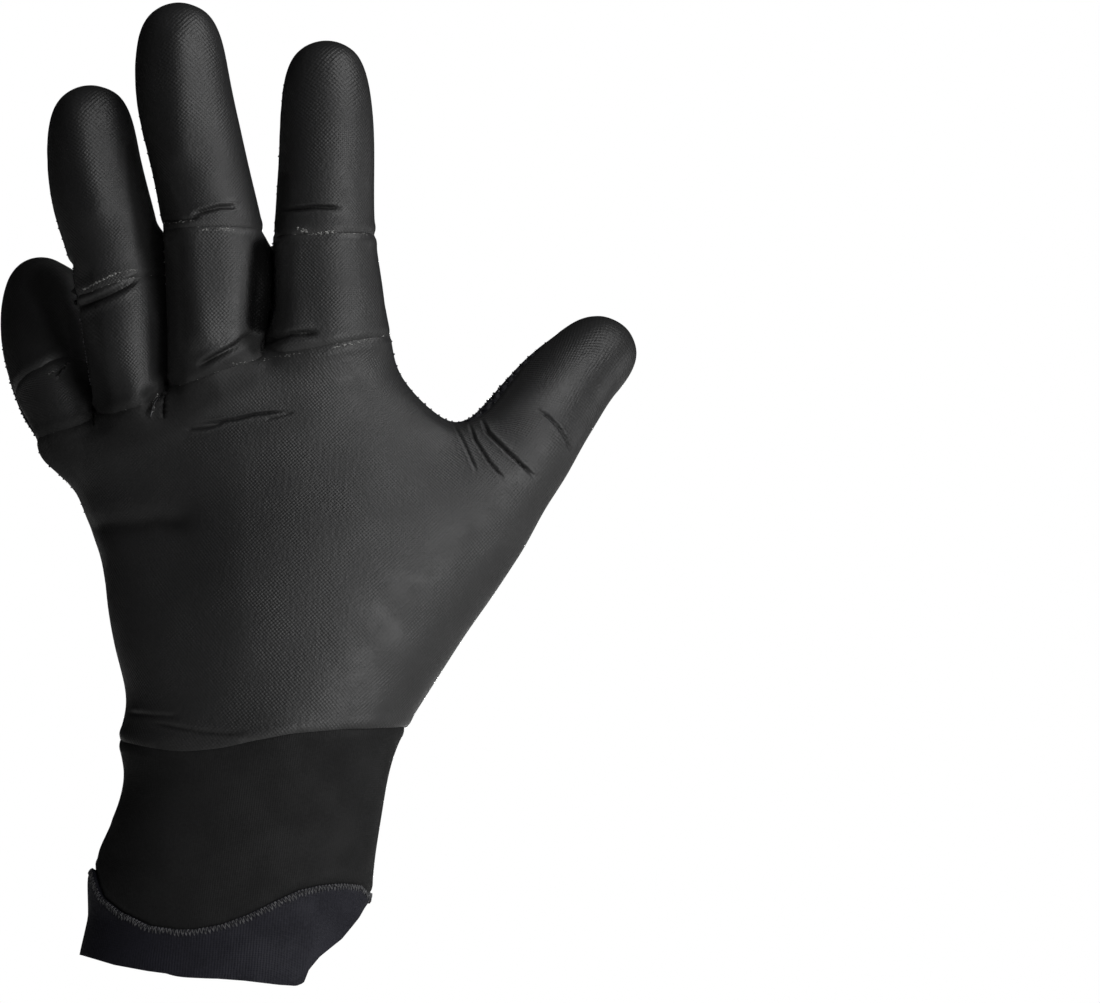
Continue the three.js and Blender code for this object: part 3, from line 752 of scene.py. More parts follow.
# %% Softening the webs
WEBS = [
    {"name": "ring_and_middle", "at": (-15, 143), "reach": 6.5},
    {"name": "middle_and_index", "at": (8.5, 155), "reach": 6},
    {"name": "below_middle_and_index", "at": (5, 149.5), "reach": 6},
    {"name": "little_and_ring", "at": (-31, 139), "reach": 4},
]
WEB_ROUNDS = 60
WEB_SOFT = (0.5, 1.2)
WEB_FACING = 0.3


def soften_webs(mesh):
    place = as_array(mesh, "co")
    view = seen(place)
    even = np.stack([spread(mesh, place[:, axis], WEB_ROUNDS) for axis in range(3)], axis=1)
    share = np.zeros(len(place))
    for web in WEBS:
        off = np.linalg.norm(view - web["at"], axis=1) / web["reach"]
        share = np.maximum(share, 1 - smooth_step(off, *WEB_SOFT))
    share *= as_array(mesh, "normal")[:, 1] < WEB_FACING
    set_places(mesh, place + (even - place) * share[:, None])
    print("webs softened", len(WEBS))


soften_webs(skin.data)

# %% [markdown]
# ## The back of the hand
#
# Over the middle bones the back of a hand is a soft ridge, steep towards the little finger
# and long towards the thumb. It is what parts the lit side of the glove from the shaded one.
# The ridge is one smooth swelling with a different reach on each side. At the knuckles the
# hand also slopes away to the little finger. Each finger has its own low ridge over the bone,
# which is given as a line.

# %% Ridge over the middle bones
RIDGE = {"x": 7, "z": 108, "high": 3.0, "to_little_finger": 13, "to_thumb": 27, "up_and_down": 32}
SLOPE = {"from_x": -4, "to_x": -34, "z": 131, "deep": 3.5, "up_and_down": 17, "curve": 1.4}
BONES = [
    {"name": "middle_lower", "high": 1.5, "half": 4.5, "line": [(-8.5, 184), (-7.5, 172), (-5.5, 160)]},
    {"name": "middle_tip", "high": 0.9, "half": 4, "line": [(-11.5, 232), (-10.5, 220), (-10, 205)]},
    {"name": "index_lower", "high": 1.5, "half": 4.5, "line": [(15.5, 184), (15.5, 172), (16.5, 161)]},
    {"name": "ring_tip", "high": 1.1, "half": 4, "line": [(-37, 215), (-34.5, 203), (-31, 192)]},
]
RIDGE_TURN = 1.5


def on_front(normal, rate):
    """1 where the skin faces the camera and 0 where it faces away, changing at this rate."""
    return np.clip(-normal[:, 1] * rate, 0, 1)


def raise_ridge(mesh):
    place = as_array(mesh, "co")
    normal = as_array(mesh, "normal")
    across = place[:, 0] / MM - RIDGE["x"]
    reach = np.where(across < 0, RIDGE["to_little_finger"], RIDGE["to_thumb"])
    up = (place[:, 2] / MM - RIDGE["z"]) / RIDGE["up_and_down"]
    lift = RIDGE["high"] * np.exp(-((across / reach) ** 2) - up**2)
    fall = np.clip((place[:, 0] / MM - SLOPE["from_x"]) / (SLOPE["to_x"] - SLOPE["from_x"]), 0, 1)
    above = place[:, 2] / MM - SLOPE["z"]
    lift -= SLOPE["deep"] * fall ** SLOPE["curve"] * hump(above, SLOPE["up_and_down"])
    for bone in BONES:
        off, _ = along_line(place[:, [0, 2]] / MM, bone["line"])
        lift += bone["high"] * hump(off, bone["half"])
    place[:, 1] -= lift * on_front(normal, RIDGE_TURN) * MM
    set_places(mesh, place)
    print("ridge", round(lift.max(), 1), "mm high")


raise_ridge(skin.data)

# %% [markdown]
# ## The lower end
#
# The line where the band is sewn to the cuff, and the rim below it, run in long curves that
# were cut by eye, with a sharp corner at the right. Both are given as the photograph shows
# them. Each point of the two rings on the near side moves up or down until the camera sees
# it on its line, the far side follows near the edges, and the cloth between and above the
# rings is drawn along.

# %% Sewn line and rim
SEWN_LINE = [
    (-32.7, 28.5), (-30.2, 21.4), (-26, 17.9), (-18.4, 14.5), (-11.1, 13.5), (-6.9, 13.5), (-0.2, 14.7),
    (6.1, 17), (13.5, 20.6), (18.9, 23.1), (24.1, 24.3), (29.5, 24.8), (34.2, 24.3), (36.1, 22.4),
]
RIM_LINE = [
    (-34.9, 7.4), (-26.5, 4.9), (-18.4, 3.4), (-7.9, 2), (5.4, 1), (14, 0), (18.2, -0.25),
    (20.1, 0.5), (21.4, 3.7), (24.1, 6.9), (29.5, 11.3), (33.7, 16.5), (36.1, 20.5),
]


def places_between(mesh, first=None, second=None):
    """The points where two panels meet, of all panels or of two named ones."""
    panel = panel_of_faces(mesh)
    owners = {}
    for face in mesh.polygons:
        for vertex in face.vertices:
            owners.setdefault(vertex, set()).add(PANELS[panel[face.index]])
    if first:
        return [vertex for vertex, names in owners.items() if {first, second} <= names]
    return [vertex for vertex, names in owners.items() if len(names) > 1]


def rim_places(mesh):
    uses = faces_round_edges(mesh)
    return sorted({v for number in np.flatnonzero(uses == 1) for v in mesh.edges[number].vertices})


print("points round the rim", len(rim_places(skin.data)))

# %% Moving the two rings
FAR_SIDE_FOLLOWS = math.radians(50)
CUFF_FOLLOWS = 18
HIDDEN_BY = 0.8
HIDDEN_FROM_X = 12


def ring_shifts(place, normal, line, keep_hidden):
    """How far each point of a ring moves up for the camera to see it on the line, in mm."""
    across, up = seen(place).T
    line = np.array(line, float)
    wanted = np.interp(across, *line.T)
    front = normal[:, 1] < 0
    turn = np.arctan2(place[:, 1], place[:, 0])
    shift = np.where(front, wanted - up, 0)
    fronts = np.flatnonzero(front)
    ends = (fronts[np.argmin(across[fronts])], fronts[np.argmax(across[fronts])])
    for number in np.flatnonzero(~front):
        for end in ends:
            apart = abs((turn[number] - turn[end] + math.pi) % math.tau - math.pi)
            shift[number] += shift[end] * (1 - smooth_step(apart, 0, FAR_SIDE_FOLLOWS))
        if keep_hidden and across[number] > keep_hidden:
            shift[number] = max(shift[number], wanted[number] + HIDDEN_BY - up[number])
    return shift


def shape_lower_end(mesh):
    place = as_array(mesh, "co")
    normal = as_array(mesh, "normal")
    turn = np.arctan2(place[:, 1], place[:, 0])
    rings = []
    for numbers, line, keep_hidden in (
        (places_between(mesh, "cuff", "hem_band"), SEWN_LINE, None),
        (rim_places(mesh), RIM_LINE, HIDDEN_FROM_X),
    ):
        numbers = sorted(numbers, key=lambda v: turn[v])
        shift = ring_shifts(place[numbers], normal[numbers], line, keep_hidden)
        for values in (place[numbers, 2] / MM, shift):
            rings.append(np.interp(turn, turn[numbers], values, period=math.tau))
    top, top_shift, rim, rim_shift = rings
    height = place[:, 2] / MM
    fall = np.clip((top - height) / (top - rim), 0, 1)
    above = 1 - smooth_step(height - top, 0, CUFF_FOLLOWS)
    lift = np.where(height < top, top_shift * (1 - fall) + rim_shift * fall, top_shift * above)
    place[:, 2] += lift * MM
    set_places(mesh, place)
    print("largest moves of the lower end", round(lift.min(), 1), round(lift.max(), 1), "mm")


shape_lower_end(skin.data)

# %% [markdown]
# At the left the cuff is narrow just above the band, whose corner stands out beside it. Each
# row gives a height and how far the left side is drawn in there.

# %% Left side of the cuff
DRAWN_IN = [
    (7.6, 0), (16.7, 1.2), (25.5, 0.6), (28.5, 1.1), (31, 1.7), (34.4, 1.2), (37.6, 0.5), (41, 0),
]
DRAWN_WHOLLY = -28
NOT_DRAWN = -10


def draw_in_left_side(mesh):
    place = as_array(mesh, "co")
    much = np.interp(place[:, 2] / MM, *np.array(DRAWN_IN).T)
    share = 1 - smooth_step(place[:, 0] / MM, DRAWN_WHOLLY, NOT_DRAWN)
    place[:, 0] += much * share * MM
    set_places(mesh, place)
    print("left side drawn in", round((much * share).max(), 1), "mm")


draw_in_left_side(skin.data)

# %% [markdown]
# ## Folds and creases
#
# Neoprene that bends keeps sharp creases with a soft roll on each side. Each crease is a row of points
# across the back of the glove, with its depth and half its width. A point of the skin is pressed in by
# how near it is to the line, lifted a little beside it, and the crease fades out at its two ends. The
# depth of each crease is also kept with the mesh, and the materials paint the creases darker by it:
# painted shade in the folds.

# %% Creases of the back
CREASES = [
    {"name": "index_joint", "deep": 0.8, "half": 0.45,
     "line": [(13, 190), (17.2, 190.7), (22.6, 191.2), (30, 190.8)]},
    {"name": "middle_joint", "deep": 0.8, "half": 0.48,
     "line": [(-8, 189.2), (-5.7, 189.9), (-0.7, 191.2), (4.8, 191.4)]},
    {"name": "middle_joint_left", "deep": 0.6, "half": 0.45,
     "line": [(-15.5, 187.6), (-10, 187.9), (-5, 188.8)]},
    {"name": "ring_joint", "deep": 1.0, "half": 0.8,
     "line": [(-37, 166), (-28.3, 169.5), (-19.5, 173.8)]},
    {"name": "index_knuckle", "deep": 1.0, "half": 0.8, "line": [(9, 157), (16.5, 160), (24, 160.4)]},
    {"name": "middle_knuckle", "deep": 1.0, "half": 0.7,
     "line": [(-7, 151.5), (-0.7, 154.8), (3.7, 157), (8.5, 160.8)]},
    {"name": "ring_web", "deep": 0.9, "half": 0.7,
     "line": [(-13.5, 147.5), (-14.7, 145.9), (-17, 144.2), (-19.5, 139.5)]},
    {"name": "over_the_hand", "deep": 0.55, "half": 0.34,
     "line": [(-6.5, 138.2), (-2, 138.3), (3, 139), (7.9, 140.2), (14.3, 140.9), (17, 141.3)]},
    {"name": "over_the_hand_lower", "deep": 0.45, "half": 0.34,
     "line": [(-9.5, 136.5), (-4, 136.9), (1, 138.3)]},
    {"name": "over_the_hand_right", "deep": 0.3, "half": 0.34,
     "line": [(10.5, 139), (14, 139.8), (18, 140.9)]},
    {"name": "under_the_little_finger", "deep": 0.55, "half": 2.2,
     "line": [(-36, 112.4), (-21.9, 113), (-17, 114), (-6, 113)]},
    {"name": "thumb_outer", "deep": 0.5, "half": 0.33,
     "line": [(76.5, 141.8), (80, 139.8), (82.7, 137.2), (84.6, 134.2), (86, 130)]},
    {"name": "thumb_middle", "deep": 0.7, "half": 0.36,
     "line": [(63.3, 140), (65.3, 135.8), (70, 131.2), (77.5, 124.2)]},
    {"name": "thumb_inner", "deep": 0.55, "half": 0.32,
     "line": [(60.5, 138.5), (62.2, 133.9), (65.5, 128.7), (70, 123.6)]},
    {"name": "thumb_web", "deep": 0.35, "half": 0.3, "line": [(56.8, 138), (59.5, 133), (62.8, 125.5)]},
    {"name": "wrist_upper", "deep": 0.35, "half": 0.6, "line": [(-24, 66.9), (-17, 66.2), (-10, 65.7)]},
    {"name": "wrist_lower", "deep": 0.5, "half": 0.7,
     "line": [(-20, 65.1), (-12.3, 63.4), (-5.7, 62.2), (1, 61.6), (7, 61.6)]},
]
print("creases", len(CREASES))

# %% Pressing the creases in
LIP_HEIGHT = 0.22
LIP_PLACE = 2.4
FADE = 0.22
CREASE_REACH = 2.2
CREASE_MARGIN = 0.4
CREASE_TURN = 2.5
FINE_BELOW = 1
FINE_FACING = 0.2
CREASE_SHADE_PER_MM = 1.3


def push_out(mesh, lift):
    """Moves each point along its normal by its own lift in millimetres."""
    set_places(mesh, as_array(mesh, "co") + as_array(mesh, "normal") * (lift * MM)[:, None])


def finer_near(obj, creases):
    """Cuts the faces close to the creases finer, so that a thin line can be pressed in."""
    pick_faces_only()
    mesh = obj.data
    centre = seen(np.array([face.center[:] for face in mesh.polygons]))
    front = np.array([face.normal.y < FINE_FACING for face in mesh.polygons])
    near = np.zeros(len(centre), bool)
    for crease in creases:
        off, _ = along_line(centre, crease["line"])
        near |= (off < CREASE_REACH * crease["half"] + CREASE_MARGIN) & front
    mesh.polygons.foreach_set("select", near)
    bpy.ops.object.mode_set(mode="EDIT")
    bpy.ops.mesh.subdivide(number_cuts=2)
    bpy.ops.object.mode_set(mode="OBJECT")
    print("faces made finer", int(near.sum()), "now", len(mesh.polygons))


def press_creases(mesh, creases):
    view = seen(as_array(mesh, "co"))
    lift = np.zeros(len(view))
    for crease in creases:
        off, share = along_line(view, crease["line"])
        ends = smooth_step(np.minimum(share, 1 - share), 0, FADE)
        lips = LIP_HEIGHT * hump(off / crease["half"] - LIP_PLACE, 1)
        lift += crease["deep"] * ends * (lips - hump(off, crease["half"]))
    lift *= on_front(as_array(mesh, "normal"), CREASE_TURN)
    push_out(mesh, lift)
    # Painted shade: how dark each crease is painted, from its depth.
    keep_values(mesh, "crease_shade", np.clip(-lift * CREASE_SHADE_PER_MM, 0, 1))
    print("deepest crease", round(lift.min(), 2), "mm, highest roll", round(lift.max(), 2), "mm")


finer_near(skin, [crease for crease in CREASES if crease["half"] < FINE_BELOW])
press_creases(skin.data, CREASES)

# %% [markdown]
# Valleys, folds and the slope at the knuckles pushed the skin in. The lining goes with it:
# every point of it that is now outside the skin, or too near to it, goes straight back in.

# %% Pressing the lining back
LEAST_COVER = 1.6
PRESS_ROUNDS = 3


def press_under(mesh, surface):
    place = as_array(mesh, "co")
    moved = 0
    for number, point in enumerate(place):
        spot, normal, _, _ = surface.find_nearest(Vector(point))
        cover = (spot - Vector(point)).dot(normal) / MM
        if cover < LEAST_COVER:
            place[number] += np.array(normal) * (cover - LEAST_COVER) * MM
            moved += 1
    set_places(mesh, place)
    return moved


shaped_skin = surface_of(skin.data)
for _ in range(PRESS_ROUNDS):
    print("lining points pressed back", press_under(lining.data, shaped_skin))

# %% [markdown]
# ## Seams
#
# Two panels of neoprene are glued edge to edge and blind-stitched from inside. Each edge is
# drawn in, so the cloth rolls down into a fine groove. The seam's points are found between
# faces of two panels, and every point of the skin sinks or swells by its distance from
# them. The short, shallow waves along each seam are the pull of single stitches, and the
# long ones all over are the cloth's own unevenness.

# %% Sinking the seams
SEAM_SINK = {"deep": 0.36, "half": 0.7}
SEAM_SWELL = {"high": 0.16, "place": 2.0, "half": 1.1}
PUCKER = {"high": 0.14, "length": 3.1, "reach": 1.8}
UNEVEN = {"high": 0.22, "length": 15}
WORN_WIDTH = 1.3


def tree_of(points):
    tree = KDTree(len(points))
    for number, point in enumerate(points):
        tree.insert(point, number)
    tree.balance()
    return tree


def distances(places, points):
    """How far each place is from the nearest of the points, in millimetres."""
    tree = tree_of(points)
    return np.array([tree.find(place)[2] for place in places]) / MM


def waves(place, length):
    return np.array([noise.noise(Vector(point) / (length * MM)) for point in place])


def sink_seams(mesh):
    place = as_array(mesh, "co")
    seams = places_between(mesh)
    near = distances(place, place[seams])
    lift = -SEAM_SINK["deep"] * hump(near, SEAM_SINK["half"])
    lift += SEAM_SWELL["high"] * hump(near - SEAM_SWELL["place"], SEAM_SWELL["half"])
    lift += PUCKER["high"] * waves(place, PUCKER["length"]) * hump(near, PUCKER["reach"])
    lift += UNEVEN["high"] * waves(place, UNEVEN["length"])
    push_out(mesh, lift)
    keep_values(mesh, "seam_worn", hump(near, WORN_WIDTH))
    print("seam points", len(seams))


sink_seams(skin.data)

# %% [markdown]
# ## Cutting the skin into its panels again
#
# Each panel becomes a piece of its own, which stands for its CAD node. Its edge is turned
# in with Solidify, set to make the rim alone, and rounded with a small bevel, so that a
# seam is a real groove between two edges. The cuff and the hem band are thin enough to be
# seen from both sides, so they get their whole thickness. Where one panel laps over the
# next, at the wrist and round the hem, the upper one is lifted and the lower one pressed in.

# %% Separate panels
LAPS = [
    {"over": "back_panel", "under": "cuff", "rise": 0.2, "drop": 0.25},
    {"over": "palm_panel", "under": "cuff", "rise": 0.2, "drop": 0.25},
    {"over": "hem_band", "under": "cuff", "rise": 0.35, "drop": 0.45},
]
SEWN = ("hem_band", "cuff")
WRIST_SEAM = 50 * MM
borders = {}
for lap in LAPS:
    numbers = places_between(skin.data, lap["over"], lap["under"])
    borders[lap["over"], lap["under"]] = [skin.data.vertices[v].co.copy() for v in numbers]

seam_spots = []
for number in places_between(skin.data):
    point = skin.data.vertices[number]
    if point.co.z > WRIST_SEAM:
        seam_spots.append((point.co.copy(), point.normal.copy()))
seam_tree = tree_of([spot for spot, _ in seam_spots])

only(skin)
bpy.ops.object.mode_set(mode="EDIT")
bpy.ops.mesh.select_all(action="SELECT")
bpy.ops.mesh.separate(type="MATERIAL")
bpy.ops.object.mode_set(mode="OBJECT")
pieces = {}
for obj in list(bpy.context.selected_objects):
    marker = obj.data.materials[obj.data.polygons[0].material_index].name
    node = marker.removesuffix("_marker")
    obj.data.materials.clear()
    obj.data.polygons.foreach_set("material_index", [0] * len(obj.data.polygons))
    obj.name = "cloth_" + node
    pieces[node] = obj
palm_sheet = pieces["palm_panel"].data.copy()
print("pieces", len(pieces))

# %% Lapped edges
LAP_REACH = 1.5


def shift_near(mesh, border, amount):
    push_out(mesh, amount * hump(distances(as_array(mesh, "co"), border), LAP_REACH))


for lap in LAPS:
    border = borders[lap["over"], lap["under"]]
    shift_near(pieces[lap["over"]].data, border, lap["rise"])
    shift_near(pieces[lap["under"]].data, border, -lap["drop"])
    print(lap["over"], "over", lap["under"], "along", len(border), "points")

# %% [markdown]
# The cuff's two edges also go a little way under the band and under the panels above, so that
# no slit opens where they meet. The band's left corner stands off the cuff.

# %% Cuff tucked under the cloth above and below it
TUCK = 0.8
TUCK_REACH = 1.2


def tuck(mesh, border, up):
    place = as_array(mesh, "co")
    place[:, 2] += up * TUCK * hump(distances(place, border), TUCK_REACH) * MM
    set_places(mesh, place)
    print("cuff tucked", up * TUCK, "mm at", len(border), "points")


tuck(pieces["cuff"].data, borders[SEWN], -1)
tuck(pieces["cuff"].data, borders["back_panel", "cuff"] + borders["palm_panel", "cuff"], 1)

# %% Corner of the band
CORNER = Vector((-32, 0, 25.5)) * MM
CORNER_FLARE = 0.5
CORNER_REACH = 6 * MM
CORNER_DEPTH_COUNTS = 0.45
band = pieces["hem_band"].data
from_corner = (as_array(band, "co") - np.array(CORNER)) * (1, CORNER_DEPTH_COUNTS, 1)
push_out(band, CORNER_FLARE * hump(np.linalg.norm(from_corner, axis=1), CORNER_REACH))
print("corner of the band flared", CORNER_FLARE, "mm")

# %% Turned and rounded edges
EDGE_DEPTH = 0.9 * MM
EDGE_ROUND = 0.16 * MM
BAND_ROUND = 0.32 * MM
ROUNDED_ABOVE = math.radians(60)
THICKNESS = {"cuff": 2.0 * MM, "hem_band": 1.8 * MM}


def finish_edges(node, obj):
    only(obj)
    bpy.ops.object.modifier_add(type="SOLIDIFY")
    wall = obj.modifiers[-1]
    wall.offset = -1
    wall.thickness = THICKNESS.get(node, EDGE_DEPTH)
    wall.use_rim_only = node not in THICKNESS
    wall.material_offset_rim = int(node == "hem_band")
    bpy.ops.object.modifier_apply(modifier=wall.name)
    bpy.ops.object.modifier_add(type="BEVEL")
    bevel = obj.modifiers[-1]
    bevel.width = BAND_ROUND if node == "hem_band" else EDGE_ROUND
    bevel.segments = 2
    bevel.limit_method = "ANGLE"
    bevel.angle_limit = ROUNDED_ABOVE
    bpy.ops.object.modifier_apply(modifier=bevel.name)
    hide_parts(node)
    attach(obj, "root")
    print(obj.name, "faces", len(obj.data.polygons))


for node, obj in pieces.items():
    obj.data.materials.append(None)
    if node == "hem_band":
        obj.data.materials.append(None)
    finish_edges(node, obj)

# %% [markdown]
# The band's cut edge shows raw foam, but only below: its sewn upper edge is not raw, and the
# faces that look down belong to the lower edge. Their material is the band's second one.

# %% Raw lower edge
HEM_TOP_NEAR = 2.2 * MM
LOWER_EDGE = -0.45
hem_top = tree_of(borders[SEWN])
for face in pieces["hem_band"].data.polygons:
    if face.material_index == 1 and hem_top.find(face.center)[2] < HEM_TOP_NEAR:
        face.material_index = 0
    if face.normal.z < LOWER_EDGE:
        face.material_index = 1
print("raw edge faces", sum(face.material_index for face in pieces["hem_band"].data.polygons))

# %% [markdown]
# ## Jersey lining
#
# The lining was set aside before the skin was rounded. Its lower edge is drawn down a little
# way inside the cuff, so that no gap shows where the two meet.

# %% Drawing the lining into the cuff
LINING_TAIL = 5 * MM
only(lining)
bpy.ops.object.mode_set(mode="EDIT")
bpy.ops.mesh.select_mode(type="EDGE")
bpy.ops.mesh.select_all(action="DESELECT")
bpy.ops.mesh.select_non_manifold(
    use_wire=False, use_multi_face=False, use_non_contiguous=False, use_verts=False
)
bpy.ops.mesh.extrude_region_move(TRANSFORM_OT_translate={"value": (0, 0, -LINING_TAIL)})
bpy.ops.object.mode_set(mode="OBJECT")
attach(lining, "root")
print("lining lowest", round(min(vertex.co.z for vertex in lining.data.vertices) / MM, 1))

# %% [markdown]
# ## Grip nubs
#
# The palm's cloth is dotted with small, hard, glossy nubs in even rows. They catch the light
# one by one and make the fingers' edges rough, which a bump texture can't do, so they are
# real. One nub is a sphere of few faces, flattened and cut in half. Its places are the
# points of a lattice on the palm's flat pattern, carried over to the panel's surface.

# %% One nub
NUB_RADIUS = 0.3 * MM
NUB_HEIGHT = 0.34 * MM
NUB_CUT = (0, 0, -0.25)

bpy.ops.object.select_all(action="DESELECT")
bpy.ops.mesh.primitive_uv_sphere_add(segments=6, ring_count=5, radius=1)
nub = bpy.context.object
bpy.ops.object.mode_set(mode="EDIT")
bpy.ops.mesh.select_all(action="SELECT")
bpy.ops.mesh.bisect(plane_co=NUB_CUT, plane_no=(0, 0, 1), clear_inner=True)
bpy.ops.mesh.select_all(action="SELECT")
bpy.ops.transform.resize(value=(NUB_RADIUS, NUB_RADIUS, NUB_HEIGHT), center_override=(0, 0, 0))
bpy.ops.object.mode_set(mode="OBJECT")
print("faces of one nub", len(nub.data.polygons))


def copies(shape, name, places):
    """One mesh made of a copy of the shape at each place."""
    points = as_array(shape.data, "co")
    faces = [tuple(face.vertices) for face in shape.data.polygons]
    all_points = np.concatenate([points @ np.array(at.to_3x3()).T + at.translation for at in places])
    all_faces = [tuple(v + len(points) * k for v in face) for k in range(len(places)) for face in faces]
    mesh = bpy.data.meshes.new(name)
    mesh.from_pydata(all_points.tolist(), [], all_faces)
    obj = new_object(name, mesh)
    bpy.ops.object.shade_smooth()
    bpy.data.objects.remove(shape)
    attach(obj, "root")
    print(name, "copies", len(places), "faces", len(mesh.polygons))
    return obj


# %% Nubs over the palm
NUB_PITCH = (2.65, 2.85)
NUB_WANDER = 0.2
NUB_SIZES = (0.7, 1.1)
NUB_EDGE = 0.8
ROW_DRIFT = 0.12
TRIANGLES_TRIED = 4
NO_AREA = 1e-6
rng = random.Random(11)


def triangles_with_pattern(mesh):
    """The mesh's triangles as corner places, and the same corners on the flat pattern."""
    mesh.calc_loop_triangles()
    corners = np.array([triangle.vertices for triangle in mesh.loop_triangles])
    loops = np.array([triangle.loops for triangle in mesh.loop_triangles])
    return as_array(mesh, "co")[corners], flat_pattern(mesh)[loops]


def lattice(low, high, pitch, drift):
    """The points of a lattice whose every second row is shifted by half a step."""
    rows = int((high[1] - low[1]) / pitch[1] * 2)
    columns = int((high[0] - low[0]) / pitch[0]) + 2
    for row in range(rows):
        for column in range(columns):
            u = low[0] + (column + row % 2 / 2) * pitch[0]
            yield u, low[1] + row * pitch[1] / 2 + u * drift


def turned_to(normal, turn):
    return normal.to_track_quat("Z", "Y").to_matrix().to_4x4() @ Matrix.Rotation(turn, 4, "Z")


def carried_over(spot, flat, solid):
    """The place on a solid triangle of a spot inside its flat pattern, or None outside it."""
    sides = np.stack([flat[1] - flat[0], flat[2] - flat[0]], axis=1)
    if abs(np.linalg.det(sides)) < NO_AREA:
        return None
    share = np.linalg.solve(sides, spot - flat[0])
    if share.min() < 0 or share.sum() > 1:
        return None
    return solid[0] + share @ (solid[1:] - solid[0])


def nub_places(mesh, border):
    solid, flat = triangles_with_pattern(mesh)
    tree = tree_of(np.c_[flat.mean(1), np.zeros(len(flat))])
    low, high = flat.min((0, 1)), flat.max((0, 1))
    places = []
    for u, v in lattice(low, high, NUB_PITCH, ROW_DRIFT):
        spot = np.array((u, v)) + np.array((rng.uniform(-1, 1), rng.uniform(-1, 1))) * NUB_WANDER
        for _, number, _ in tree.find_n((*spot, 0), TRIANGLES_TRIED):
            at = carried_over(spot, flat[number], solid[number])
            if at is None:
                continue
            first, second, third = solid[number][:3]
            normal = Vector(np.cross(second - first, third - first))
            if border.find(at)[2] > NUB_EDGE * MM:
                turn = turned_to(normal.normalized(), rng.uniform(0, math.tau))
                places.append(Matrix.Translation(at) @ turn @ Matrix.Scale(rng.uniform(*NUB_SIZES), 4))
            break
    return places


nubs = copies(nub, "palm_grip_nubs", nub_places(palm_sheet, seam_tree))

# %% [markdown]
# ## Stitching of the hem
#
# The band's upper edge is oversewn with light grey thread: it runs along the edge, and at
# each stitch goes down over the band and up again. The thread is one real tube. One stitch
# is a short table of steps along the edge, down from it and off the cloth, and it is
# repeated round the wrist with small differences, because no two are sewn alike.

# %% The sewn edge as one loop
def loop_order(points):
    """Sorts the points of a ring by going round the wrist, and closes it."""
    points = np.array(points)
    points = points[np.argsort(np.arctan2(points[:, 1], points[:, 0]))]
    return np.vstack([points, points[:1]])


edge_loop = loop_order(borders[SEWN])
edge_reach = np.r_[0, np.cumsum(np.linalg.norm(np.diff(edge_loop, axis=0), axis=1))]
print("sewn edge is", round(edge_reach[-1] / MM), "mm long")


def on_edge(reach):
    reach = reach % edge_reach[-1]
    return Vector([np.interp(reach, edge_reach, edge_loop[:, axis]) for axis in range(3)])


# %% Oversewing
STITCH_PITCH = 0.92 * MM
STITCHES = round(edge_reach[-1] / STITCH_PITCH)
STITCH_LONG = edge_reach[-1] / STITCHES
STITCH_DOWN = 1.35 * MM
STITCH_SLANT = 0.12
STITCH_DEPTHS = (0.85, 1.12)
THREAD = 0.13 * MM
ONE_STITCH = [
    {"along": 0.0, "down": -0.08, "off": 0.5},
    {"along": 0.08, "down": 0.3, "off": 1.4},
    {"along": 0.3, "down": 0.75, "off": 1.2},
    {"along": 0.4, "down": 1.05, "off": -0.3},
    {"along": 0.5, "down": 0.7, "off": 1.0},
    {"along": 0.62, "down": 0.25, "off": 1.3},
    {"along": 0.7, "down": 0.0, "off": 0.8},
]
LOOK_FROM = 5 * MM
LOOK_REACH = LOOK_FROM * 1.5
BAND_RISES = 0.35 * MM
band_surface = surface_of(pieces["hem_band"].data)


def thread_tube(name, points, closed):
    curve = bpy.data.curves.new(name, "CURVE")
    curve.dimensions = "3D"
    curve.bevel_depth = THREAD
    curve.bevel_resolution = 1
    line = curve.splines.new("POLY")
    line.points.add(len(points) - 1)
    for knot, point in zip(line.points, points):
        knot.co = (*point, 1)
    line.use_cyclic_u = closed
    obj = new_object(name, curve)
    bpy.ops.object.convert(target="MESH")
    bpy.ops.object.shade_smooth()
    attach(obj, "root")
    print(name, "faces", len(obj.data.polygons))
    return obj


def oversewing():
    for number in range(STITCHES):
        slant = rng.uniform(-STITCH_SLANT, STITCH_SLANT)
        deep = rng.uniform(*STITCH_DEPTHS)
        for step in ONE_STITCH:
            reach = (number + step["along"] + slant * step["down"]) * STITCH_LONG
            spot = on_edge(reach)
            along = on_edge(reach + STITCH_LONG) - on_edge(reach - STITCH_LONG)
            out = Vector((spot.x, spot.y, 0)).normalized()
            down = along.cross(out).normalized()
            down *= -math.copysign(1, down.z)
            spot += down * step["down"] * deep * STITCH_DOWN
            met = band_surface.ray_cast(spot + out * LOOK_FROM, -out, LOOK_REACH)[0]
            yield (met or spot + out * BAND_RISES) + out * THREAD * step["off"]


stitching = thread_tube("hem_stitching", list(oversewing()), True)

# %% Loose thread at a web
WEB_THREAD = [(-17.2, 139.6), (-16.9, 141.2), (-16.2, 143), (-15.3, 144.6), (-14.5, 145.6)]
WEB_PANELS = ("back_panel", "ring_lower_panel", "middle_lower_panel")
THREAD_LIES_OFF = Vector((0, THREAD * 0.7, 0))
near_web = [surface_of(pieces[node].data) for node in WEB_PANELS]
spots = []
for x, z in WEB_THREAD:
    spots.append(min((from_front(surface, x, z) for surface in near_web), key=lambda spot: spot.y))
loose = thread_tube("web_thread", [spot - THREAD_LIES_OFF for spot in spots], False)

# %% [markdown]
# ## Glue along the seams
#
# The glued seams carry small silvery specks of dried glue where it was squeezed out, most of
# them over the finger joints and the knuckles. One speck is a small ball of twenty faces. It
# is flattened and laid on the surface that a straight look from the front meets.

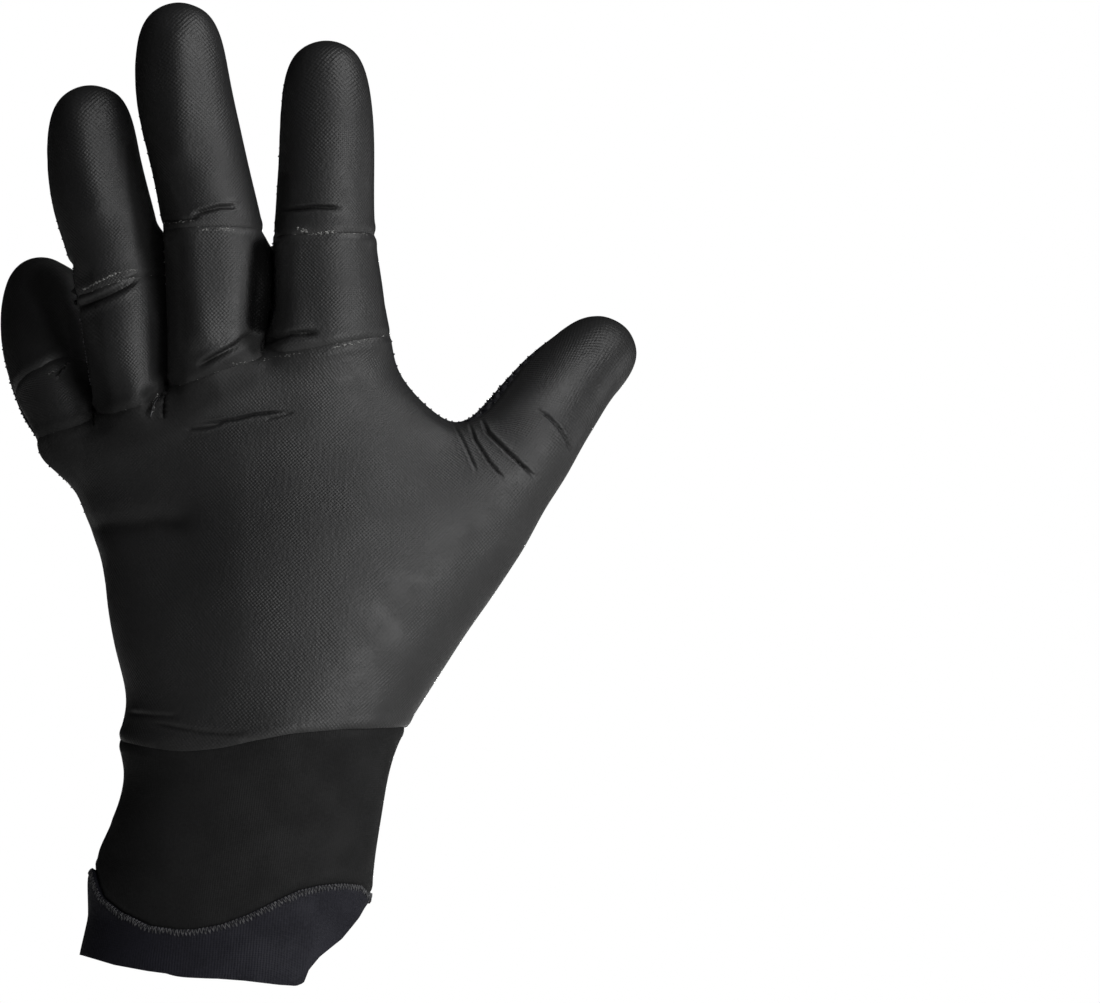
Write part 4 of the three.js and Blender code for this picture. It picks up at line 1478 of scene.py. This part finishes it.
# %% Places of the glue
GLUE_LINES = [
    {"name": "index_joint", "each_mm": 5, "size": 0.25,
     "line": [(18, 185.8), (22.6, 184.3), (27.5, 184.8)]},
    {"name": "index_joint_right", "each_mm": 1.5, "size": 0.15, "line": [(27.5, 184.8), (35.6, 184.1)]},
    {"name": "index_knuckle", "each_mm": 3.5, "size": 0.18,
     "line": [(27, 156.2), (35.6, 158.3), (40.3, 159.4)]},
    {"name": "middle_knuckle", "each_mm": 1.6, "size": 0.15,
     "line": [(2, 152.2), (14.5, 154.2), (20, 154.9)]},
    {"name": "middle_joint", "each_mm": 4, "size": 0.2,
     "line": [(-4.4, 185.3), (-1.2, 185.5), (3.2, 185.3)]},
    {"name": "middle_joint_left", "each_mm": 2.5, "size": 0.16,
     "line": [(-14.7, 187), (-9.3, 187.4), (-5.7, 187.8)]},
    {"name": "ring_joint", "each_mm": 6, "size": 0.24,
     "line": [(-34.4, 170.8), (-30.7, 172.5), (-26.3, 174.7)]},
    {"name": "ring_joint_right", "each_mm": 4, "size": 0.18, "line": [(-26.3, 174.7), (-20.4, 175.9)]},
    {"name": "little_joint", "each_mm": 2, "size": 0.15, "line": [(-43.2, 150.4), (-38.8, 152.8)]},
    {"name": "ring_web", "each_mm": 5, "size": 0.16,
     "line": [(-15.2, 146), (-16.4, 143.5), (-16.6, 140.8)]},
    {"name": "ring_side", "each_mm": 8, "size": 0.2, "line": [(-14.4, 178.4), (-14.1, 177.6)]},
]
print("lines of glue", len(GLUE_LINES))

# %% One speck and its copies
GLUE_SPREAD = 0.33
GLUE_SIZES = (0.5, 1.2)
SEAM_SPECK_EVERY = 9
SEAM_SPECK = 0.11
SEAM_SPECK_SIZES = (0.6, 1.4)
SPECK_LONG = (0.8, 2.4)
SPECK_WIDE = (0.5, 1.0)
SPECK_HIGH = 0.45
SPECK_TURN = 0.5
LONG_WAY = Vector((1, 0, 0.001))

bpy.ops.object.select_all(action="DESELECT")
bpy.ops.mesh.primitive_ico_sphere_add(subdivisions=1, radius=1)
speck = bpy.context.object


def speck_at(spot, normal, size):
    """A flat speck, longest from side to side, where most of the glued seams run."""
    side = LONG_WAY - normal * normal.x
    side.normalize()
    turn = Matrix((side, normal.cross(side), normal)).transposed().to_4x4()
    long, wide = size * rng.uniform(*SPECK_LONG), size * rng.uniform(*SPECK_WIDE)
    shape = Matrix.Diagonal((long * MM, wide * MM, size * SPECK_HIGH * MM, 1))
    slanted = Matrix.Rotation(rng.uniform(-SPECK_TURN, SPECK_TURN), 4, "Z")
    return Matrix.Translation(spot) @ turn @ slanted @ shape


def specks_on_lines():
    surfaces = [surface_of(obj.data) for obj in pieces.values()]
    for row in GLUE_LINES:
        line = np.array(row["line"], float)
        for start, end in zip(line, line[1:]):
            for _ in range(round(np.linalg.norm(end - start) * row["each_mm"])):
                x, z = start + (end - start) * rng.random() + rng.uniform(-1, 1) * GLUE_SPREAD
                looks = [straight_look(surface, x, z) for surface in surfaces]
                hits = [look for look in looks if look[0] is not None]
                if hits:
                    spot, normal, _, _ = min(hits, key=lambda hit: hit[3])
                    yield speck_at(spot, normal, row["size"] * rng.uniform(*GLUE_SIZES))


def specks_on_seams():
    for spot, normal in rng.sample(seam_spots, len(seam_spots) // SEAM_SPECK_EVERY):
        yield speck_at(spot, normal, SEAM_SPECK * rng.uniform(*SEAM_SPECK_SIZES))


glue = copies(speck, "seam_glue", [*specks_on_lines(), *specks_on_seams()])

# %% [markdown]
# ## Finishes
#
# Effects that several cloths share are node groups, built once: a soft mottle of tone, the
# fine diamond emboss of smooth neoprene, the ribs of jersey, the hills of the grip cloth and
# sparse lint. All of them read the flat pattern, one unit to the millimetre, so each size
# below is the size on the real cloth. A group only gives out numbers and masks. The shader
# itself stays in each material.

# %% Helpers for node groups
FINE_DETAIL = 4.0


def new_group(name, inputs, output):
    """An empty group that reads the flat pattern and some sizes, and gives one number."""
    tree = bpy.data.node_groups.new(name, "ShaderNodeTree")
    tree.interface.new_socket("Pattern", in_out="INPUT", socket_type="NodeSocketVector")
    for socket, value in inputs.items():
        made = tree.interface.new_socket(socket, in_out="INPUT", socket_type="NodeSocketFloat")
        made.default_value = value
    tree.interface.new_socket(output, in_out="OUTPUT", socket_type="NodeSocketFloat")
    return tree, tree.nodes.new("NodeGroupInput"), tree.nodes.new("NodeGroupOutput")


def fill(tree, socket, value):
    """Links a socket to another, or sets it to a plain value."""
    if isinstance(value, bpy.types.NodeSocket):
        tree.links.new(value, socket)
    else:
        socket.default_value = value


def calc(tree, operation, *values):
    step = tree.nodes.new("ShaderNodeMath")
    step.operation = operation
    for socket, value in zip(step.inputs, values):
        fill(tree, socket, value)
    return step.outputs[0]


def times(tree, first, second):
    return calc(tree, "MULTIPLY", first, second)


def plus(tree, first, second):
    return calc(tree, "ADD", first, second)


def between(tree, value, low, high, to_low=0.0, to_high=1.0):
    """Carries a number smoothly from one range to another, and stays inside it."""
    step = tree.nodes.new("ShaderNodeMapRange")
    step.interpolation_type = "SMOOTHSTEP"
    for socket, amount in zip(step.inputs, (value, low, high, to_low, to_high)):
        fill(tree, socket, amount)
    return step.outputs["Result"]


# %% Helpers for noise and waves
def cloud(tree, pattern, size, detail=3.0):
    """Soft noise whose patches are about this many millimetres across."""
    step = tree.nodes.new("ShaderNodeTexNoise")
    fill(tree, step.inputs["Vector"], pattern)
    fill(tree, step.inputs["Scale"], calc(tree, "DIVIDE", 1.0, size))
    step.inputs["Detail"].default_value = detail
    return step.outputs["Fac"]


def across_and_up(tree, pattern):
    step = tree.nodes.new("ShaderNodeSeparateXYZ")
    fill(tree, step.inputs[0], pattern)
    return step.outputs[0], step.outputs[1]


def stretched(tree, pattern, scale, turn=0.0):
    """The pattern turned round Z and scaled, which makes what is drawn on it narrower."""
    step = tree.nodes.new("ShaderNodeMapping")
    step.inputs["Rotation"].default_value = (0, 0, turn)
    step.inputs["Scale"].default_value = scale
    fill(tree, step.inputs["Vector"], pattern)
    return step.outputs["Vector"]


def wave(tree, value, length):
    return calc(tree, "COSINE", times(tree, value, calc(tree, "DIVIDE", math.tau, length)))


def rough_noise(tree, pattern, kind):
    return times(tree, cloud(tree, pattern, kind["size"]), kind["high"])


# %% Soft mottle
PATCH_SHARE = 0.6
MOTTLE_CONTRAST = (0.3, 0.7)
MOTTLE, enter, leave = new_group("soft_mottle", {"Patch": 12.0, "Grain": 0.6}, "Tone")
patch = cloud(MOTTLE, enter.outputs["Pattern"], enter.outputs["Patch"])
grain = cloud(MOTTLE, enter.outputs["Pattern"], enter.outputs["Grain"])
tone = plus(MOTTLE, times(MOTTLE, patch, PATCH_SHARE), times(MOTTLE, grain, 1 - PATCH_SHARE))
MOTTLE.links.new(between(MOTTLE, tone, *MOTTLE_CONTRAST), leave.inputs["Tone"])
print(MOTTLE.name, "nodes", len(MOTTLE.nodes))

# %% Small diamonds
FLATTENED = {"size": 9.0, "contrast": (0.35, 0.65), "least": 0.35}
DIAMONDS, enter, leave = new_group("small_diamonds", {"Spacing": 1.0}, "Height")
across, up = across_and_up(DIAMONDS, enter.outputs["Pattern"])
rows = wave(DIAMONDS, up, enter.outputs["Spacing"])
columns = wave(DIAMONDS, across, enter.outputs["Spacing"])
weave = times(DIAMONDS, rows, columns)
patch = cloud(DIAMONDS, enter.outputs["Pattern"], FLATTENED["size"])
depth = between(DIAMONDS, patch, *FLATTENED["contrast"], FLATTENED["least"])
DIAMONDS.links.new(times(DIAMONDS, weave, depth), leave.inputs["Height"])
print(DIAMONDS.name, "nodes", len(DIAMONDS.nodes))

# %% Jersey ribs
RIB_WOBBLE = {"size": 1.6, "high": 0.35}
RIB_FUZZ = {"size": 0.25, "high": 1.4}
KNIT_LOOP = {"long": 0.8, "high": 0.45}
RIBS, enter, leave = new_group("jersey_ribs", {"Spacing": 0.55}, "Height")
wobble = rough_noise(RIBS, enter.outputs["Pattern"], RIB_WOBBLE)
across, up = across_and_up(RIBS, enter.outputs["Pattern"])
ribs = wave(RIBS, plus(RIBS, across, wobble), enter.outputs["Spacing"])
loops = wave(RIBS, plus(RIBS, up, wobble), times(RIBS, enter.outputs["Spacing"], KNIT_LOOP["long"]))
knit = plus(RIBS, ribs, times(RIBS, loops, KNIT_LOOP["high"]))
fuzz = rough_noise(RIBS, enter.outputs["Pattern"], RIB_FUZZ)
RIBS.links.new(plus(RIBS, knit, fuzz), leave.inputs["Height"])
print(RIBS.name, "nodes", len(RIBS.nodes))

# %% Grip hills
HILL_WOBBLE = {"size": 2.2, "high": 1.1}
HILL_CRUMB = {"size": 0.5, "high": 1.1}
HILLS, enter, leave = new_group("grip_hills", {"Across": NUB_PITCH[0], "Up": NUB_PITCH[1]}, "Height")
wobble = rough_noise(HILLS, enter.outputs["Pattern"], HILL_WOBBLE)
across, up = across_and_up(HILLS, enter.outputs["Pattern"])
side_by_side = wave(HILLS, plus(HILLS, across, wobble), enter.outputs["Across"])
tilted = calc(HILLS, "SUBTRACT", up, times(HILLS, across, ROW_DRIFT))
upward = wave(HILLS, plus(HILLS, tilted, wobble), enter.outputs["Up"])
hills = times(HILLS, side_by_side, upward)
crumb = rough_noise(HILLS, enter.outputs["Pattern"], HILL_CRUMB)
HILLS.links.new(plus(HILLS, hills, crumb), leave.inputs["Height"])
print(HILLS.name, "nodes", len(HILLS.nodes))

# %% Lint
LINT_LEANS = 0.7
LINT_STRETCH = (1, 0.35, 1)
LINT_THIN = 0.2
LINT, enter, leave = new_group("lint", {"Apart": 6.0, "Long": 0.5}, "Mask")
slanting = stretched(LINT, enter.outputs["Pattern"], LINT_STRETCH, turn=LINT_LEANS)
cells = LINT.nodes.new("ShaderNodeTexVoronoi")
LINT.links.new(slanting, cells.inputs["Vector"])
LINT.links.new(calc(LINT, "DIVIDE", 1.0, enter.outputs["Apart"]), cells.inputs["Scale"])
size = calc(LINT, "DIVIDE", times(LINT, enter.outputs["Long"], LINT_THIN), enter.outputs["Apart"])
LINT.links.new(between(LINT, cells.outputs["Distance"], 0.0, size, 1.0, 0.0), leave.inputs["Mask"])
print(LINT.name, "nodes", len(LINT.nodes))

# %% [markdown]
# ## One material for each cloth
#
# Every cloth has a deep and a light tone mixed by its mottle, a little lint, painted shade (a darker
# tone) in its creases, near the fingers and in the hollows of its relief, a paler one where its seams
# are worn, and a relief that is given in millimetres. So one function builds them all from a short list
# of amounts.

# %% Amounts that all cloths share
MOTTLE_SIZES = {"Patch": 11.0, "Grain": 0.7}
LINT_LONG = 0.6
LINT_TONE = (0.09, 0.09, 0.09)
LINT_SHOWS = 0.5
CREASE_SHADE_TONE = (0.004, 0.004, 0.004)
CREASE_SHADE_SHOWS = 0.85
WORN_SHOWS = 0.5
PAINTED_SHADE_TONE = (0.0015, 0.0015, 0.0015)
SHADE_SHOWS = 0.92
SHADE_DULLS = 0.6
HALF_RUBBED = 0.5
RUB_SMOOTHS = 0.33
RUB_RANGE = (0.3, 1.0)
HOLLOW_SHADE_RANGE = (0.9, -0.1)
GRAIN_SIZE = 1.3
GRAIN_DRAWN = (1.4, 0.8, 1)
print("tone in the shade", PAINTED_SHADE_TONE[0], "and in the folds", CREASE_SHADE_TONE[0])

# %% Helpers for materials
def use_group(tree, group, pattern, **sizes):
    step = tree.nodes.new("ShaderNodeGroup")
    step.node_tree = group
    tree.links.new(pattern, step.inputs["Pattern"])
    for name, value in sizes.items():
        step.inputs[name].default_value = value
    return step.outputs[0]


def kept_value(tree, name):
    step = tree.nodes.new("ShaderNodeAttribute")
    step.attribute_name = name
    return step.outputs["Fac"]


def mix_colour(tree, share, first, second):
    step = tree.nodes.new("ShaderNodeMix")
    step.data_type = "RGBA"
    fill(tree, step.inputs["Factor"], share)
    for socket, value in ((step.inputs["A"], first), (step.inputs["B"], second)):
        fill(tree, socket, value if isinstance(value, bpy.types.NodeSocket) else (*value, 1))
    return step.outputs["Result"]


def add_relief(tree, shader, height, distance):
    bump = tree.nodes.new("ShaderNodeBump")
    bump.inputs["Distance"].default_value = distance
    tree.links.new(height, bump.inputs["Height"])
    tree.links.new(bump.outputs["Normal"], shader.inputs["Normal"])


# %% Building a cloth's material
def cloth_material(name, tones, worn, rough, relief, texture, gloss=0.5, lint_apart=7.0, hollow_shade=0.0):
    """tones and rough: where the mottle is deep and light; worn: at seams; relief: weave, grain."""
    material, tree, shader = new_material(name)
    pattern = tree.nodes.new("ShaderNodeTexCoord").outputs["UV"]
    mottle = use_group(tree, MOTTLE, pattern, **MOTTLE_SIZES)
    base = mix_colour(tree, mottle, *tones)
    height = use_group(tree, texture["group"], pattern, **texture["sizes"])
    # Painted shade: the hollows of the texture are painted darker, towards the shade tone.
    base = mix_colour(tree, between(tree, height, *HOLLOW_SHADE_RANGE, 0.0, hollow_shade), base, PAINTED_SHADE_TONE)
    lint = use_group(tree, LINT, pattern, Apart=lint_apart, Long=LINT_LONG)
    base = mix_colour(tree, times(tree, lint, LINT_SHOWS), base, LINT_TONE)
    # Painted shade in the creases: the base colour goes darker by the kept crease depth.
    base = mix_colour(tree, times(tree, kept_value(tree, "crease_shade"), CREASE_SHADE_SHOWS), base, CREASE_SHADE_TONE)
    base = mix_colour(tree, times(tree, kept_value(tree, "seam_worn"), WORN_SHOWS), base, worn)
    # Painted shade: the base colour goes dark where the mesh keeps shade, and the finish duller.
    shaded = times(tree, kept_value(tree, "shaded"), SHADE_SHOWS)
    tree.links.new(mix_colour(tree, shaded, base, PAINTED_SHADE_TONE), shader.inputs["Base Color"])
    rubbed = kept_value(tree, "rubbed")
    dull = times(tree, shaded, between(tree, rubbed, 0.0, HALF_RUBBED, SHADE_DULLS, 0.0))
    dull = plus(tree, dull, between(tree, rubbed, *RUB_RANGE, 0.0, -RUB_SMOOTHS))
    dull = plus(tree, dull, between(tree, mottle, 0.0, 1.0, *rough))
    tree.links.new(calc(tree, "MINIMUM", dull, 1.0), shader.inputs["Roughness"])
    shader.inputs["Specular IOR Level"].default_value = gloss
    weave = times(tree, height, relief[0])
    drawn = stretched(tree, pattern, GRAIN_DRAWN)
    grain = times(tree, cloud(tree, drawn, GRAIN_SIZE, FINE_DETAIL), relief[1])
    add_relief(tree, shader, plus(tree, weave, grain), MM)
    return material


# %% The five cloths
SMOOTH = cloth_material(
    "smooth_skin",
    tones=((0.014, 0.014, 0.0144), (0.02, 0.02, 0.0204)),
    worn=(0.034, 0.034, 0.034),
    rough=(0.5, 0.42),
    relief=(0.045, 0.13),
    texture={"group": DIAMONDS, "sizes": {"Spacing": 1.0}},
)
GRIP = cloth_material(
    "grip_cloth",
    tones=((0.009, 0.009, 0.0125), (0.02, 0.02, 0.026)),
    worn=(0.014, 0.014, 0.018),
    rough=(0.75, 0.55),
    relief=(0.34, 0.16),
    texture={"group": HILLS, "sizes": {"Across": NUB_PITCH[0], "Up": NUB_PITCH[1]}},
    gloss=0.35,
    lint_apart=5.0,
    hollow_shade=0.85,
)
CUFF = cloth_material(
    "cuff_cloth",
    tones=((0.0065, 0.0065, 0.0067), (0.0095, 0.0095, 0.0098)),
    worn=(0.01, 0.01, 0.0103),
    rough=(0.8, 0.65),
    relief=(0.02, 0.05),
    texture={"group": RIBS, "sizes": {"Spacing": 0.55}},
    gloss=0.22,
)
HEM = cloth_material(
    "hem_cloth",
    tones=((0.0062, 0.0062, 0.0105), (0.0105, 0.0105, 0.0175)),
    worn=(0.009, 0.009, 0.013),
    rough=(0.8, 0.6),
    relief=(0.025, 0.05),
    texture={"group": RIBS, "sizes": {"Spacing": 0.7}},
    gloss=0.25,
)
LINING = cloth_material(
    "lining_jersey",
    tones=((0.014, 0.014, 0.015), (0.022, 0.022, 0.023)),
    worn=(0.02, 0.02, 0.02),
    rough=(0.95, 0.85),
    relief=(0.03, 0.05),
    texture={"group": RIBS, "sizes": {"Spacing": 0.9}},
    gloss=0.3,
)
print("cloths", SMOOTH.name, GRIP.name, CUFF.name, HEM.name, LINING.name)

# %% [markdown]
# ## Materials of the small pieces
#
# Thread, glue, nubs and the raw edge have no flat pattern of their own, so their grain reads Object
# coordinates. Thread is light and dark by turns, as its strands are, dried glue is half dusty and half
# shiny, and the raw edge is pale foam showing through dark cut threads. The nubs' pale patches are
# painted glints: some nubs are painted light at random, standing in for their highlights.

# %% Small pieces
GRAIN_CONTRAST = (0.35, 0.65)


def grained_material(name, tones, grain, rough, relief):
    """Grain is the size of the patches and relief their height, both in millimetres."""
    material, tree, shader = new_material(name)
    place = tree.nodes.new("ShaderNodeTexCoord").outputs["Object"]
    in_mm = stretched(tree, place, (1 / MM, 1 / MM, 1 / MM))
    patches = between(tree, cloud(tree, in_mm, grain, FINE_DETAIL), *GRAIN_CONTRAST)
    tree.links.new(mix_colour(tree, patches, *tones), shader.inputs["Base Color"])
    tree.links.new(between(tree, patches, 0.0, 1.0, *rough), shader.inputs["Roughness"])
    add_relief(tree, shader, patches, relief * MM)
    return material


YARN = grained_material(
    "grey_thread", ((0.012, 0.012, 0.014), (0.1, 0.1, 0.105)), grain=0.7, rough=(0.7, 0.45), relief=0.06
)
DRIED = grained_material(
    "dried_glue", ((0.04, 0.04, 0.04), (0.32, 0.32, 0.31)), grain=0.8, rough=(0.55, 0.3), relief=0.05
)
# Painted glints: the light tone of the nubs stands in for their highlights, on top of their real gloss.
NUB_PAINTED_GLINTS = grained_material(
    "grip_nub", ((0.012, 0.012, 0.015), (0.2, 0.2, 0.215)), grain=1.6, rough=(0.34, 0.16), relief=0.02
)
RAW = grained_material(
    "raw_edge", ((0.03, 0.027, 0.03), (0.32, 0.25, 0.24)), grain=0.9, rough=(0.95, 0.85), relief=0.15
)
print("small pieces", YARN.name, DRIED.name, NUB_PAINTED_GLINTS.name, RAW.name)

# %% Dressing the pieces
FINISHES = {"palm_panel": GRIP, "cuff": CUFF, "hem_band": HEM}
SLOTS = {"palm_panel": "grip_neoprene", "cuff": "cuff_jersey", "hem_band": "hem_jersey"}
for node, obj in pieces.items():
    obj.data.materials[0] = FINISHES.get(node, SMOOTH)
    SLOTS.get(node, "smooth_neoprene")
pieces["hem_band"].data.materials[1] = RAW
lining.data.materials.clear()
lining.data.polygons.foreach_set("material_index", [0] * len(lining.data.polygons))
lining.data.materials.append(LINING)
for obj, finish in ((nubs, NUB_PAINTED_GLINTS), (stitching, YARN), (loose, YARN), (glue, DRIED)):
    obj.data.materials.append(finish)
print("panels dressed", len(pieces))

# %% Sizes
boxes = {"cad": model_box, "scene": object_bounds()}
{name: [list(low), list(high)] for name, (low, high) in boxes.items()}
